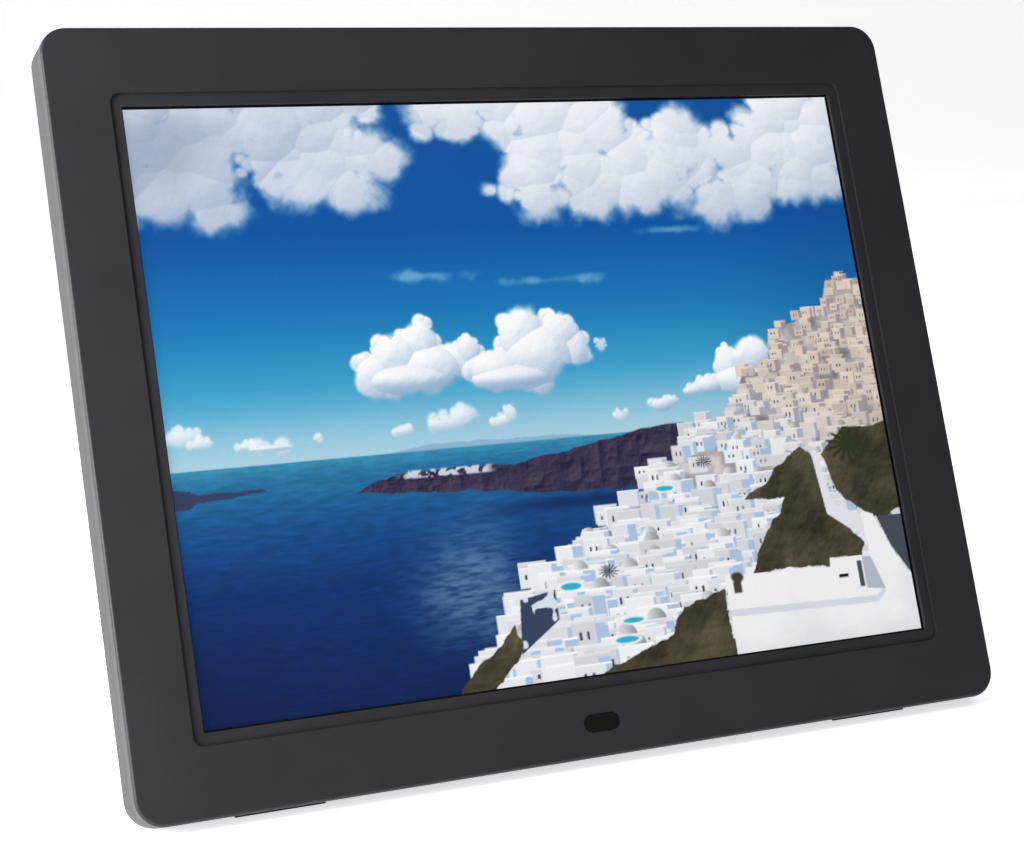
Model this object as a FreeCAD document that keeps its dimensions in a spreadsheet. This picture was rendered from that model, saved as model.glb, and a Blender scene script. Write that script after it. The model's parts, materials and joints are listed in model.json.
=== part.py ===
"""Digital photo frame: a display and its electronics in a two-part case on an easel stand.

Pieces are drawn in the panel's own axes: x to the right, y from the front face into the case, and
z up along the panel from its bottom edge. The stance leans the panel back and stands it on its
feet, with the origin on the surface below the middle of the whole object. The leg has axes of its
own: it hangs along -z from the hinge pin. The floor pose holds pieces drawn upright on the surface.
"""
import FreeCAD, Part
import os
import re

import Sketcher

SMALL = 0.001
OVERRUN = 1.0
MIRROR = ("-", "+")

SIZES = {
    # picture, and the case around it
    "screen_width": 304.1,
    "screen_height": 228.1,
    "screen_margin": 0.8,
    "band_side": 5.15,
    "band_top": 5.45,
    "rim_side": 23.25,
    "rim_top": 25.35,
    "corner_radius": 10.5,
    "recess_corner": 4.0,
    "recess_depth": 1.3,
    "face_thickness": 2.8,
    "parting_depth": 6.5,
    "parting_gap": 0.15,
    "side_depth": 18.3,
    "case_wall": 2.2,
    "front_round": 1.2,
    "rear_round": 2.0,
    "lip_inset": 1.15,
    "lip_gap": 0.15,
    "lip_depth": 2.0,
    # raised middle of the rear cover
    "plateau_side": 50.45,
    "plateau_low": 30.0,
    "plateau_top": 54.7,
    "plateau_rise": 14.0,
    "plateau_corner": 14.0,
    "plateau_round": 3.0,
    # stance, feet and stand
    "lean_angle": 21.3,
    "foot_flat": 12.3,
    "foot_thickness": 0.8,
    "foot_length": 34.0,
    "foot_width": 5.0,
    "foot_inset": 38.0,
    "channel_half": 36.0,
    "channel_depth": 7.0,
    "channel_corner": 6.0,
    "channel_above": 15.0,
    "pivot_height": 150.0,
    "stand_angle": 45.0,
    "knuckle_radius": 4.5,
    "knuckle_half": 28.0,
    "knuckle_gap": 0.4,
    "leg_front": 4.5,
    "leg_back": 0.3,
    "leg_foot_half": 31.0,
    "leg_relief": 1.2,
    "pin_radius": 2.0,
    "pin_clearance": 0.05,
    "ear_clearance": 0.02,
    "pin_head": 3.2,
    "pin_cap": 1.4,
    "washer_space": 0.6,
    "washer_thickness": 0.4,
    "ear_thickness": 2.0,
    "ear_radius": 5.0,
    "bracket_thickness": 1.6,
    "bracket_half": 11.0,
    "bracket_hole_x": 20.0,
    "bracket_hole_z": 7.5,
    "shoe_sole": 2.0,
    "shoe_front": 10.0,
    "shoe_back": 8.0,
    "shoe_height": 10.0,
    "shoe_side": 2.0,
    "shoe_corner": 3.0,
    # screws and bosses
    "screw_inset": 12.5,
    "screw_end": 18.0,
    "screw_middle": 60.0,
    "screw_radius": 1.4,
    "screw_head": 2.7,
    "head_height": 1.4,
    "hole_gap": 0.1,
    "through_gap": 0.3,
    "head_gap": 0.5,
    "head_recess": 1.5,
    "screw_grip": 4.0,
    "boss_radius": 3.8,
    "boss_meet": 9.5,
    "boss_gap": 0.2,
    # remote receiver
    "window_height": 12.8,
    "window_half": 4.2,
    "window_radius": 3.3,
    "window_gap": 0.15,
    "window_sink": 0.15,
    "window_flange": 1.4,
    "flange_thickness": 0.8,
    "post_x": 14.0,
    "post_radius": 2.2,
    "receiver_board_depth": 8.0,
    "receiver_board_half": 17.0,
    "receiver_board_height": 7.0,
    "receiver_width": 6.0,
    "receiver_height": 7.0,
    "receiver_depth": 3.6,
    # display module, front to back
    "stack_gap": 0.1,
    "module_side": 6.95,
    "module_top": 8.45,
    "chassis_thickness": 0.4,
    "cell_border": 4.0,
    "cell_thickness": 1.4,
    "diffuser_thickness": 0.5,
    "guide_thickness": 5.0,
    "reflector_thickness": 0.2,
    "tray_thickness": 0.8,
    "light_space": 5.6,
    "light_board": 1.0,
    "light_height": 1.2,
    "light_width": 5.0,
    "light_pitch": 12.0,
    "driver_half": 110.0,
    "driver_drop": 4.0,
    "driver_height": 18.0,
    "driver_thickness": 1.0,
    "side_boss_offset": 5.0,
    "side_boss_radius": 3.3,
    "side_boss_z": 70.0,
    "side_bracket_half": 85.0,
    "side_bracket_reach": 12.0,
    "side_bracket_edge": 1.0,
    "side_bracket_thickness": 1.0,
    # main board and what stands on it
    "board_gap": 11.8,
    "board_edge": 0.8,
    "board_low": 85.0,
    "board_height": 140.0,
    "board_thickness": 1.6,
    "board_hole": 4.5,
    "standoff_height": 5.9,
    "standoff_radius": 2.6,
    "sheet_thickness": 0.3,
    "sheet_margin": 3.0,
    "socket_sink": 0.5,
    "socket_gap": 0.4,
    "jack_radius": 1.8,
    "jack_depth": 12.0,
    "plug_radius": 2.8,
    "plug_depth": 10.0,
    "plug_pin": 1.0,
    "plug_pin_length": 9.0,
    # keys on the rear
    "key_side": 48.0,
    "key_drop": 60.0,
    "key_pitch": 17.0,
    "key_outer": 30.0,
    "key_rise": 38.0,
    "key_radius": 5.0,
    "key_gap": 0.35,
    "key_flange": 6.4,
    "key_flange_thickness": 1.4,
    "key_proud": 1.2,
    "key_round": 0.6,
    "key_travel_gap": 0.7,
    "key_stop_gap": 0.6,
    "switch_height": 3.3,
    "switch_half": 3.0,
    "plunger_radius": 1.7,
    "plunger_height": 0.8,
    "key_board_thickness": 1.2,
    "key_board_half": 40.0,
    "key_board_below": 25.0,
    "key_board_above": 47.0,
    "key_board_hole": 4.0,
    "key_screw_rise": 20.0,
    "key_boss_radius": 3.0,
    # speakers
    "speaker_side": 35.0,
    "speaker_rise": 22.0,
    "speaker_radius": 15.0,
    "speaker_mouth": 12.0,
    "speaker_rim": 2.3,
    "speaker_basket": 4.0,
    "speaker_magnet": 8.5,
    "magnet_height": 3.6,
    "gasket_thickness": 1.1,
    "grille_pitch": 4.0,
    "grille_radius": 0.9,
    "grille_half": 7.5,
    # vents
    "vent_pitch": 6.0,
    "vent_half": 10.0,
    "vent_radius": 0.8,
    "vent_drop": 20.0,
    "vent_first": 52.0,
    # wiring
    "wire_radius": 0.6,
    "ribbon_thickness": 0.3,
}

DERIVED = {
    "frame_width": "screen_width + 2 * band_side + 2 * rim_side",
    "frame_height": "screen_height + 2 * band_top + 2 * rim_top",
    "half_width": "frame_width / 2",
    "middle": "frame_height / 2",
    "plateau_half": "half_width - plateau_side",
    "plateau_high": "frame_height - plateau_top",
    "plateau_back": "side_depth + plateau_rise",
    "flange_inside": "side_depth - case_wall",
    "plateau_inside": "plateau_back - case_wall",
    "channel_floor": "plateau_back - channel_depth",
    "channel_high": "pivot_height + channel_above",
    "cover_front": "parting_depth + parting_gap",
    "screw_x": "half_width - screw_inset",
    "module_half_width": "screen_width / 2 + module_side",
    "module_half_height": "screen_height / 2 + module_top",
    "chassis_front": "face_thickness + stack_gap",
    "cell_front": "chassis_front + chassis_thickness + stack_gap",
    "diffuser_front": "cell_front + cell_thickness + stack_gap",
    "guide_front": "diffuser_front + diffuser_thickness + stack_gap",
    "reflector_front": "guide_front + guide_thickness + stack_gap",
    "tray_front": "reflector_front + reflector_thickness + stack_gap",
    "tray_back": "tray_front + tray_thickness",
    "tray_inset": "chassis_thickness + stack_gap",
    "sheet_inset": "tray_inset + tray_thickness + stack_gap",
    "side_boss_x": "module_half_width + side_boss_offset",
    "side_bracket_front": "tray_back + stack_gap",
    "board_left": "channel_half + case_wall + board_gap",
    "board_right": "plateau_half - case_wall - board_edge",
    "board_high": "board_low + board_height",
    "board_front": "tray_back + standoff_height",
    "board_back": "board_front + board_thickness",
    "socket_face": "plateau_half - socket_sink",
    "key_x": "-(plateau_half - key_side)",
    "key_z": "plateau_high - key_drop",
    "key_flange_front": "plateau_inside - key_stop_gap - key_flange_thickness",
    "switch_top": "key_flange_front - key_travel_gap",
    "key_board_back": "switch_top - switch_height - plunger_height",
    "key_board_front": "key_board_back - key_board_thickness",
    "speaker_x": "plateau_half - speaker_side",
    "speaker_z": "plateau_low + speaker_rise",
    "gasket_front": "plateau_inside - gasket_thickness",
    "speaker_front": "gasket_front - speaker_rim - speaker_basket - magnet_height",
    "leg_lean": "stand_angle - lean_angle",
    "lift": "foot_flat * sin(lean_angle) + foot_thickness",
    "pivot_depth": "channel_floor + bracket_thickness + knuckle_gap + knuckle_radius",
    "pin_level": "pivot_height * cos(lean_angle) - pivot_depth * sin(lean_angle) + lift",
    "pin_reach": "pivot_height * sin(lean_angle) + pivot_depth * cos(lean_angle)",
    "leg_length": "(pin_level - shoe_sole - leg_front * sin(leg_lean)) / cos(leg_lean)",
    "shoe_reach": "pin_reach + leg_length * sin(leg_lean) - leg_front / 2 * cos(leg_lean)",
    "front_reach": "front_round * (cos(lean_angle) + sin(lean_angle) - 1)",
    "setback": "(front_reach + shoe_reach + shoe_back) / 2",
    "ear_inside": "knuckle_half + washer_space",
    "ear_outside": "ear_inside + ear_thickness",
    "hinge_boss_half": "channel_half - shoe_corner",
    "hinge_boss_front": "channel_floor - screw_grip - case_wall",
}

CASE_SCREWS = [(f"{side}screw_x", height) for side in MIRROR
               for height in ("screw_end", "middle", "frame_height - screw_end")]
CASE_SCREWS += [(f"{side}screw_middle", height) for side in MIRROR
                for height in ("screw_inset", "frame_height - screw_inset")]
SIDE_SCREWS = {side: [(f"{side}side_boss_x", f"middle {step} side_boss_z") for step in MIRROR]
               for side in MIRROR}
RECEIVER_SCREWS = [(f"{side}post_x", "window_height") for side in MIRROR]
BOARD_SCREWS = [(x, z) for x in ("board_left + board_hole", "board_right - board_hole")
                for z in ("board_low + board_hole", "board_high - board_hole")]
KEY_BOARD_SCREWS = [(f"key_x {side} (key_board_half - key_board_hole)", z) for side in MIRROR
                    for z in ("key_z - key_board_below + key_board_hole",
                              "key_z + key_screw_rise")]
BRACKET_SCREWS = [(f"{side}bracket_hole_x", f"pivot_height {step} bracket_hole_z")
                  for side in MIRROR for step in MIRROR]
KEYS = {
    "key_enter": ("key_x", "key_z"),
    "key_up": ("key_x", "key_z + key_pitch"),
    "key_down": ("key_x", "key_z - key_pitch"),
    "key_left": ("key_x - key_pitch", "key_z"),
    "key_right": ("key_x + key_pitch", "key_z"),
    "key_power": ("key_x - key_outer", "key_z + key_rise"),
    "key_menu": ("key_x + key_outer", "key_z + key_rise"),
}
# each socket: height above the board's low edge, then its width, thickness and length
SOCKETS = {
    "power_socket": ("12", "9.4", "9.4", "14"),
    "headphone_socket": ("29", "6.8", "6.8", "14"),
    "usb_host_socket": ("46", "14.4", "7", "14"),
    "usb_device_socket": ("62", "8", "4.2", "8.5"),
    "card_socket": ("88", "27", "3.4", "27"),
}
TURNS = {"x": ("0; 1; 0", 90), "y": ("1; 0; 0", -90), "z": ("1; 0; 0", 0)}

document = FreeCAD.newDocument("PhotoFrame")
sheet = document.addObject("Spreadsheet::Sheet", "Sizes")
for row, (name, size) in enumerate(SIZES.items(), 1):
    sheet.set(f"A{row}", name)
    sheet.set(f"B{row}", str(size))
    sheet.setAlias(f"B{row}", name)
document.recompute()
subparts = []


def formula(text):
    """Point every name in a plain expression at its cell, or at what it is derived from."""
    def swap(match):
        word = match.group()
        if word in DERIVED:
            return f"({formula(DERIVED[word])})"
        return f"Sizes.{word}" if word in SIZES else word
    return re.sub(r"[a-z][a-z_]*", swap, str(text))


def value(text):
    """Work out a plain expression as a number."""
    return float(sheet.evalExpression(formula(text)))


def placing(x, y, z, axis="z"):
    """Write the placement of a primitive whose own +z is turned to the given axis."""
    turn, angle = TURNS[axis]
    return (f"create(<<placement>>; create(<<vector>>; {formula(x)}; {formula(y)}; {formula(z)}); "
            f"create(<<rotation>>; create(<<vector>>; {turn}); {angle}))")


def make_poses():
    """Add the three poses that sub-parts take."""
    for pose in ("Stance", "Floor", "Leg"):
        document.addObject("App::Placement", pose)
    document.Stance.setExpression("Placement", formula(
        "create(<<placement>>; create(<<vector>>; 0; -(setback); lift);"
        " create(<<rotation>>; create(<<vector>>; 1; 0; 0); -lean_angle))"))
    document.Floor.setExpression("Placement", placing("0", "-(setback)", "0"))
    document.Leg.setExpression("Placement", "Stance.Placement * " + formula(
        "create(<<placement>>; create(<<vector>>; 0; pivot_depth; pivot_height);"
        " create(<<rotation>>; create(<<vector>>; 1; 0; 0); stand_angle))"))


def finish(item, pose="Stance"):
    """Pose a finished sub-part and put it on the list that is written out."""
    item.setExpression("Placement", f"{pose}.Placement")
    subparts.append(item)
    return item


# primitives and booleans

def box(label, x, y, z):
    """Make a box from its (low, high) expressions along each axis."""
    item = document.addObject("Part::Box", label)
    for size, (low, high) in (("Length", x), ("Width", y), ("Height", z)):
        item.setExpression(size, formula(f"({high}) - ({low})"))
    item.setExpression("Placement", placing(x[0], y[0], z[0]))
    return item


def cylinder(label, radius, start, length, axis="y"):
    """Make a cylinder that runs from its start point along one axis."""
    item = document.addObject("Part::Cylinder", label)
    item.setExpression("Radius", formula(radius))
    item.setExpression("Height", formula(length))
    item.setExpression("Placement", placing(*start, axis))
    return item


def cone(label, radii, start, length, axis="y"):
    """Make a cone from its first and last radius along one axis."""
    item = document.addObject("Part::Cone", label)
    item.setExpression("Radius1", formula(radii[0]))
    item.setExpression("Radius2", formula(radii[1]))
    item.setExpression("Height", formula(length))
    item.setExpression("Placement", placing(*start, axis))
    return item


def fuse(label, items):
    """Join solids into one."""
    item = document.addObject("Part::MultiFuse", label)
    item.Shapes = items
    return item


def group(label, items):
    """Keep separate solids together in one sub-part."""
    item = document.addObject("Part::Compound", label)
    item.Links = items
    return item


def cut(label, base, tools):
    """Cut a list of tools out of a solid."""
    item = document.addObject("Part::Cut", label)
    item.Base = base
    item.Tool = tools[0] if len(tools) == 1 else group(f"{label}_tools", tools)
    return item


# sketches

def dimension(sketch, kind, places, text):
    """Add a dimension that follows an expression."""
    index = sketch.addConstraint(Sketcher.Constraint(kind, *places, value(text)))
    sketch.setExpression(f"Constraints[{index}]", formula(text))


def line(start, end):
    """Make a sketch line between two (x, y) points."""
    return Part.LineSegment(FreeCAD.Vector(*start, 0), FreeCAD.Vector(*end, 0))


def arc(centre, radius, start, end):
    """Make a sketch arc between two angles in quarter turns."""
    circle_line = Part.Circle(FreeCAD.Vector(*centre, 0), FreeCAD.Vector(0, 0, 1), radius)
    quarter = FreeCAD.Units.Quantity("90 deg").getValueAs("rad").Value
    return Part.ArcOfCircle(circle_line, start * quarter, end * quarter)


def join(sketch, kind, first, count):
    """Join each of a run of lines or arcs to the next, end to start."""
    for step in range(count):
        following = first + (step + 1) % count
        sketch.addConstraint(Sketcher.Constraint(kind, first + step, 2, following, 1))


def polygon(sketch, points):
    """Draw a closed polygon through points given as expressions."""
    first = sketch.GeometryCount
    places = [(value(x), value(y)) for x, y in points]
    for start, end in zip(places, places[1:] + places[:1]):
        sketch.addGeometry(line(start, end))
    join(sketch, "Coincident", first, len(points))
    for step, (x, y) in enumerate(points):
        dimension(sketch, "DistanceX", (-1, 1, first + step, 1), x)
        dimension(sketch, "DistanceY", (-1, 1, first + step, 1), y)


def rectangle(sketch, left, right, low, high):
    """Draw an upright rectangle with square corners."""
    polygon(sketch, [(left, low), (right, low), (right, high), (left, high)])


def rounded(sketch, left, right, low, high, radius):
    """Draw an upright rectangle with rounded corners."""
    first = sketch.GeometryCount
    x_low, x_high, y_low, y_high, r = map(value, (left, right, low, high, radius))
    x_in, x_out, y_in, y_out = x_low + r, x_high - r, y_low + r, y_high - r
    sides = [((x_in, y_low), (x_out, y_low)), ((x_high, y_in), (x_high, y_out)),
             ((x_out, y_high), (x_in, y_high)), ((x_low, y_out), (x_low, y_in))]
    centres = [(x_out, y_in), (x_out, y_out), (x_in, y_out), (x_in, y_in)]
    for quarter, (side, centre) in enumerate(zip(sides, centres)):
        sketch.addGeometry(line(*side))
        sketch.addGeometry(arc(centre, r, quarter - 1, quarter))
    join(sketch, "Tangent", first, 8)
    for step, kind in enumerate(("Horizontal", "Vertical", "Horizontal", "Vertical")):
        sketch.addConstraint(Sketcher.Constraint(kind, first + 2 * step))
    for step in (3, 5, 7):
        sketch.addConstraint(Sketcher.Constraint("Equal", first + 1, first + step))
    dimension(sketch, "Radius", (first + 1,), radius)
    dimension(sketch, "DistanceY", (-1, 1, first, 1), low)
    dimension(sketch, "DistanceX", (-1, 1, first + 2, 1), right)
    dimension(sketch, "DistanceY", (-1, 1, first + 4, 1), high)
    dimension(sketch, "DistanceX", (-1, 1, first + 6, 1), left)


def stadium(sketch, x, y, half, radius):
    """Draw a level slot with round ends, whose end centres lie half a length either side."""
    first = sketch.GeometryCount
    across, up, reach, r = map(value, (x, y, half, radius))
    low, high = up - r, up + r
    sketch.addGeometry(line((across - reach, low), (across + reach, low)))
    sketch.addGeometry(arc((across + reach, up), r, -1, 1))
    sketch.addGeometry(line((across + reach, high), (across - reach, high)))
    sketch.addGeometry(arc((across - reach, up), r, 1, 3))
    join(sketch, "Tangent", first, 4)
    sketch.addConstraint(Sketcher.Constraint("Horizontal", first))
    sketch.addConstraint(Sketcher.Constraint("Equal", first + 1, first + 3))
    dimension(sketch, "Radius", (first + 1,), radius)
    dimension(sketch, "DistanceX", (-1, 1, first + 1, 3), f"({x}) + ({half})")
    dimension(sketch, "DistanceX", (-1, 1, first + 3, 3), f"({x}) - ({half})")
    dimension(sketch, "DistanceY", (-1, 1, first + 1, 3), y)


def circle(sketch, x, y, radius):
    """Draw a circle."""
    index = sketch.addGeometry(Part.Circle(FreeCAD.Vector(value(x), value(y), 0),
                                           FreeCAD.Vector(0, 0, 1), value(radius)))
    dimension(sketch, "Radius", (index,), radius)
    dimension(sketch, "DistanceX", (-1, 1, index, 3), x)
    dimension(sketch, "DistanceY", (-1, 1, index, 3), y)


def circles(places, radius):
    """Make a drawing of one circle at each place."""
    def draw(sketch):
        for x, z in places:
            circle(sketch, x, z, radius)
    return draw


def outline(inset):
    """Make a drawing of the case's outline, moved in by an inset."""
    def draw(sketch):
        rounded(sketch, f"-(half_width - ({inset}))", f"half_width - ({inset})", inset,
                f"frame_height - ({inset})", f"corner_radius - ({inset})")
    return draw


def around_screen(side, top, radius=None):
    """Make a drawing of a rectangle that stands outside the picture by a side and a top margin."""
    edges = (f"-(screen_width / 2 + {side})", f"screen_width / 2 + {side}",
             f"middle - screen_height / 2 - ({top})", f"middle + screen_height / 2 + {top}")

    def draw(sketch):
        if radius:
            rounded(sketch, *edges, radius)
        else:
            rectangle(sketch, *edges)
    return draw


def module(inset, below="0"):
    """Make a drawing of the display module's outline, moved in, and more so at the bottom."""
    def draw(sketch):
        rectangle(sketch, f"-(module_half_width - ({inset}))", f"module_half_width - ({inset})",
                  f"middle - module_half_height + {inset} + {below}",
                  f"middle + module_half_height - ({inset})")
    return draw


def plateau(inset):
    """Make a drawing of the rear cover's raised middle, moved in by an inset."""
    def draw(sketch):
        rounded(sketch, f"-(plateau_half - ({inset}))", f"plateau_half - ({inset})",
                f"plateau_low + {inset}", f"plateau_high - ({inset})",
                f"plateau_corner - ({inset})")
    return draw


# bodies made of sketched features

def new_body(label):
    """Start a PartDesign body."""
    return document.addObject("PartDesign::Body", label)


def draw_on(body, plane, start, draw):
    """Sketch on a plane parallel to one of the body's origin planes."""
    sketch = body.newObject("Sketcher::SketchObject", "sketch")
    face = next(item for item in body.Origin.OriginFeatures if item.Role == plane)
    sketch.AttachmentSupport = [(face, "")]
    sketch.MapMode = "FlatFace"
    offset = f"-({start})" if plane == "XZ_Plane" else start
    sketch.setExpression("AttachmentOffset.Base.z", formula(offset))
    draw(sketch)
    return sketch


def pad(body, start, end, draw, plane="XZ_Plane"):
    """Add the drawing's area from start to end along the plane's positive axis."""
    sketch = draw_on(body, plane, start, draw)
    feature = body.newObject("PartDesign::Pad", "pad")
    feature.Profile = sketch
    feature.Reversed = plane == "XZ_Plane"
    feature.setExpression("Length", formula(f"({end}) - ({start})"))
    document.recompute()
    return feature


def pocket(body, start, end, draw, plane="XZ_Plane"):
    """Remove the drawing's area from start to end along the plane's positive axis."""
    before = body.Shape.Volume
    sketch = draw_on(body, plane, start, draw)
    feature = body.newObject("PartDesign::Pocket", "pocket")
    feature.Profile = sketch
    feature.Reversed = plane != "XZ_Plane"
    feature.setExpression("Length", formula(f"({end}) - ({start})"))
    document.recompute()
    if not body.Shape.Volume < before - SMALL:
        raise RuntimeError(f"a pocket of {body.Label} cuts nothing")
    return feature


def repeat(body, feature, pitch, count):
    """Repeat a feature across its sketch."""
    pattern = body.newObject("PartDesign::LinearPattern", "pattern")
    pattern.Originals = [feature]
    pattern.Direction = (feature.Profile[0], ["H_Axis"])
    pattern.Occurrences = count
    pattern.setExpression("Length", formula(f"({count} - 1) * {pitch}"))
    body.Tip = pattern
    document.recompute()


def round_edges(body, radius, wanted):
    """Fillet each edge whose bounding box is wanted."""
    last = body.Tip
    names = [f"Edge{number}" for number, edge in enumerate(last.Shape.Edges, 1)
             if wanted(edge.BoundBox)]
    feature = body.newObject("PartDesign::Fillet", "fillet")
    feature.Base = (last, names)
    feature.setExpression("Radius", formula(radius))
    document.recompute()


# case

def make_front_bezel():
    """Front moulding: flat rim, stepped recess, picture opening, bosses and a locating lip."""
    body = new_body("front_bezel")
    pad(body, "0", "parting_depth", outline("0"))
    round_edges(body, "front_round", lambda bounds: bounds.YMax < SMALL)
    pocket(body, f"-{OVERRUN}", "recess_depth",
           around_screen("band_side", "band_top", "recess_corner"))
    pocket(body, "0", f"face_thickness + {OVERRUN}",
           around_screen("screen_margin", "screen_margin"))
    pocket(body, "face_thickness", f"parting_depth + {OVERRUN}", outline("case_wall"))
    pad(body, "face_thickness", "parting_depth + lip_depth", lambda sketch: [
        outline(inset)(sketch) for inset in ("lip_inset", "case_wall")])
    root = "face_thickness - parting_gap"
    pad(body, root, "boss_meet", circles(CASE_SCREWS, "boss_radius"))
    pad(body, root, "side_bracket_front",
        circles(SIDE_SCREWS["-"] + SIDE_SCREWS["+"], "side_boss_radius"))
    pad(body, root, "receiver_board_depth", circles(RECEIVER_SCREWS, "post_radius"))
    pilot = "screw_radius + hole_gap"
    for places, seat in ((CASE_SCREWS, "boss_meet"), (RECEIVER_SCREWS, "receiver_board_depth"),
                         (SIDE_SCREWS["-"] + SIDE_SCREWS["+"], "side_bracket_front")):
        pocket(body, f"{seat} - screw_grip - hole_gap", f"{seat} + {OVERRUN}",
               circles(places, pilot))
    pocket(body, f"-{OVERRUN}", f"face_thickness + {OVERRUN}",
           lambda sketch: stadium(sketch, "0", "window_height", "window_half",
                                  "window_radius + window_gap"))
    finish(body)


def cut_sockets(body):
    """Open the side of the rear cover's raised middle in front of every socket."""
    def draw(sketch):
        for rise, width, thickness, _ in SOCKETS.values():
            middle = f"board_low + {rise}"
            rectangle(sketch, "board_back - socket_gap", f"board_back + {thickness} + socket_gap",
                      f"{middle} - {width} / 2 - socket_gap", f"{middle} + {width} / 2 + socket_gap")
    pocket(body, f"plateau_half - case_wall - {OVERRUN}", f"plateau_half + {OVERRUN}", draw,
           "YZ_Plane")


def cut_grilles(body):
    """Cut the speaker slots and the row of vents through the rear wall."""
    through = ("plateau_inside - hole_gap", f"plateau_back + {OVERRUN}")
    for side in MIRROR:
        def slots(sketch, x=f"{side}speaker_x"):
            for step in range(-2, 3):
                stadium(sketch, x, f"speaker_z + {step} * grille_pitch", "grille_half",
                        "grille_radius")
        pocket(body, *through, slots)

    def upright_slot(sketch):
        rounded(sketch, "vent_first - vent_radius", "vent_first + vent_radius",
                "plateau_high - vent_drop - vent_half", "plateau_high - vent_drop + vent_half",
                "vent_radius - window_gap")
    repeat(body, pocket(body, *through, upright_slot), "vent_pitch", 12)


def make_rear_cover():
    """Rear moulding: a shallow tray with a raised middle, a leg channel and all the openings."""
    body = new_body("rear_cover")
    pad(body, "cover_front", "side_depth", outline("0"))
    side_depth = value("side_depth")
    round_edges(body, "rear_round", lambda bounds: bounds.YMin > side_depth - SMALL)
    pad(body, "flange_inside", "plateau_back", plateau("0"))
    plateau_back = value("plateau_back")
    round_edges(body, "plateau_round", lambda bounds: bounds.YMin > plateau_back - SMALL)
    pocket(body, f"cover_front - {OVERRUN}", "parting_depth + lip_depth + lip_gap",
           outline("lip_inset - lip_gap"))
    pocket(body, "cover_front", "flange_inside", outline("case_wall"))
    pocket(body, f"flange_inside - {OVERRUN}", "plateau_inside", plateau("case_wall"))
    pad(body, "channel_floor - case_wall", "plateau_inside + case_wall / 2",
        lambda sketch: rectangle(sketch, "-(channel_half + case_wall)", "channel_half + case_wall",
                                 "plateau_low + case_wall / 2", "channel_high + case_wall"))
    pad(body, "hinge_boss_front", "channel_floor",
        lambda sketch: rectangle(sketch, "-(hinge_boss_half)", "hinge_boss_half",
                                 "pivot_height - bracket_half - case_wall",
                                 "pivot_height + bracket_half + case_wall"))
    pocket(body, "channel_floor", f"plateau_back + {OVERRUN}",
           lambda sketch: rounded(sketch, "-channel_half", "channel_half",
                                  "plateau_low - 2 * channel_corner", "channel_high",
                                  "channel_corner"))
    pocket(body, "channel_floor - screw_grip - hole_gap", f"channel_floor + {OVERRUN}",
           circles(BRACKET_SCREWS, "screw_radius + hole_gap"))
    pad(body, "boss_meet + boss_gap", f"flange_inside + {SMALL}",
        circles(CASE_SCREWS, "boss_radius"))
    pocket(body, "boss_meet", f"side_depth + {OVERRUN}",
           circles(CASE_SCREWS, "screw_radius + through_gap"))
    pocket(body, "side_depth - head_recess", f"side_depth + {OVERRUN}",
           circles(CASE_SCREWS, "screw_head + head_gap"))
    pad(body, "key_board_back", f"plateau_inside + {SMALL}",
        circles(KEY_BOARD_SCREWS, "key_boss_radius"))
    pocket(body, f"key_board_back - {OVERRUN}", "key_board_back + screw_grip + hole_gap",
           circles(KEY_BOARD_SCREWS, "screw_radius + hole_gap"))
    pocket(body, "plateau_inside - hole_gap", f"plateau_back + {OVERRUN}",
           circles(KEYS.values(), "key_radius + key_gap"))
    cut_grilles(body)
    cut_sockets(body)
    pocket(body, f"-(half_width + {OVERRUN})", f"half_width + {OVERRUN}",
           lambda sketch: polygon(sketch, [
               ("foot_flat", "0"), ("foot_flat", "-case_wall"),
               ("side_depth + case_wall", "-case_wall"),
               ("side_depth + case_wall",
                "(side_depth + case_wall - foot_flat) * tan(lean_angle)")]), "YZ_Plane")
    finish(body)


def screws(label, places, seat, heading, length):
    """Make a group of round-headed screws with the given seat depth, going in along +y or -y."""
    pieces = []
    for number, (x, z) in enumerate(places):
        head_start = seat if heading == "-" else f"({seat}) - head_height"
        shank_start = f"({seat}) - ({length})" if heading == "-" else seat
        head = cylinder(f"{label}_head_{number}", "screw_head", (x, head_start, z), "head_height")
        shank = cylinder(f"{label}_shank_{number}", "screw_radius", (x, shank_start, z), length)
        pieces.append(fuse(f"{label}_{number}", [head, shank]))
    finish(group(label, pieces))


def make_screws():
    """All screw groups except the sunk ones of the hinge bracket."""
    screws("case_screws", CASE_SCREWS, "side_depth - head_recess", "-",
           "side_depth - head_recess - boss_meet + screw_grip")
    screws("panel_screws", SIDE_SCREWS["-"] + SIDE_SCREWS["+"],
           "side_bracket_front + side_bracket_thickness", "-",
           "side_bracket_thickness + screw_grip")
    screws("receiver_screws", RECEIVER_SCREWS, "receiver_board_depth + driver_thickness", "-",
           "driver_thickness + screw_grip")
    screws("board_screws", BOARD_SCREWS, "board_back", "-", "board_thickness + screw_grip")
    screws("key_board_screws", KEY_BOARD_SCREWS, "key_board_front", "+",
           "key_board_thickness + screw_grip")


def make_feet():
    """Two rubber strips under the flat along the lower rear edge."""
    start = "foot_flat * cos(lean_angle) + hole_gap"
    pieces = []
    for side in MIRROR:
        reach = (f"{side}(half_width - foot_inset)", f"{side}(half_width - foot_inset - foot_length)")
        low, high = sorted(reach, key=value)
        pieces.append(box("foot_strip", (low, high), (start, f"{start} + foot_width"),
                          ("0", "foot_thickness")))
    finish(group("rubber_feet", pieces), "Floor")


# remote receiver

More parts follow.
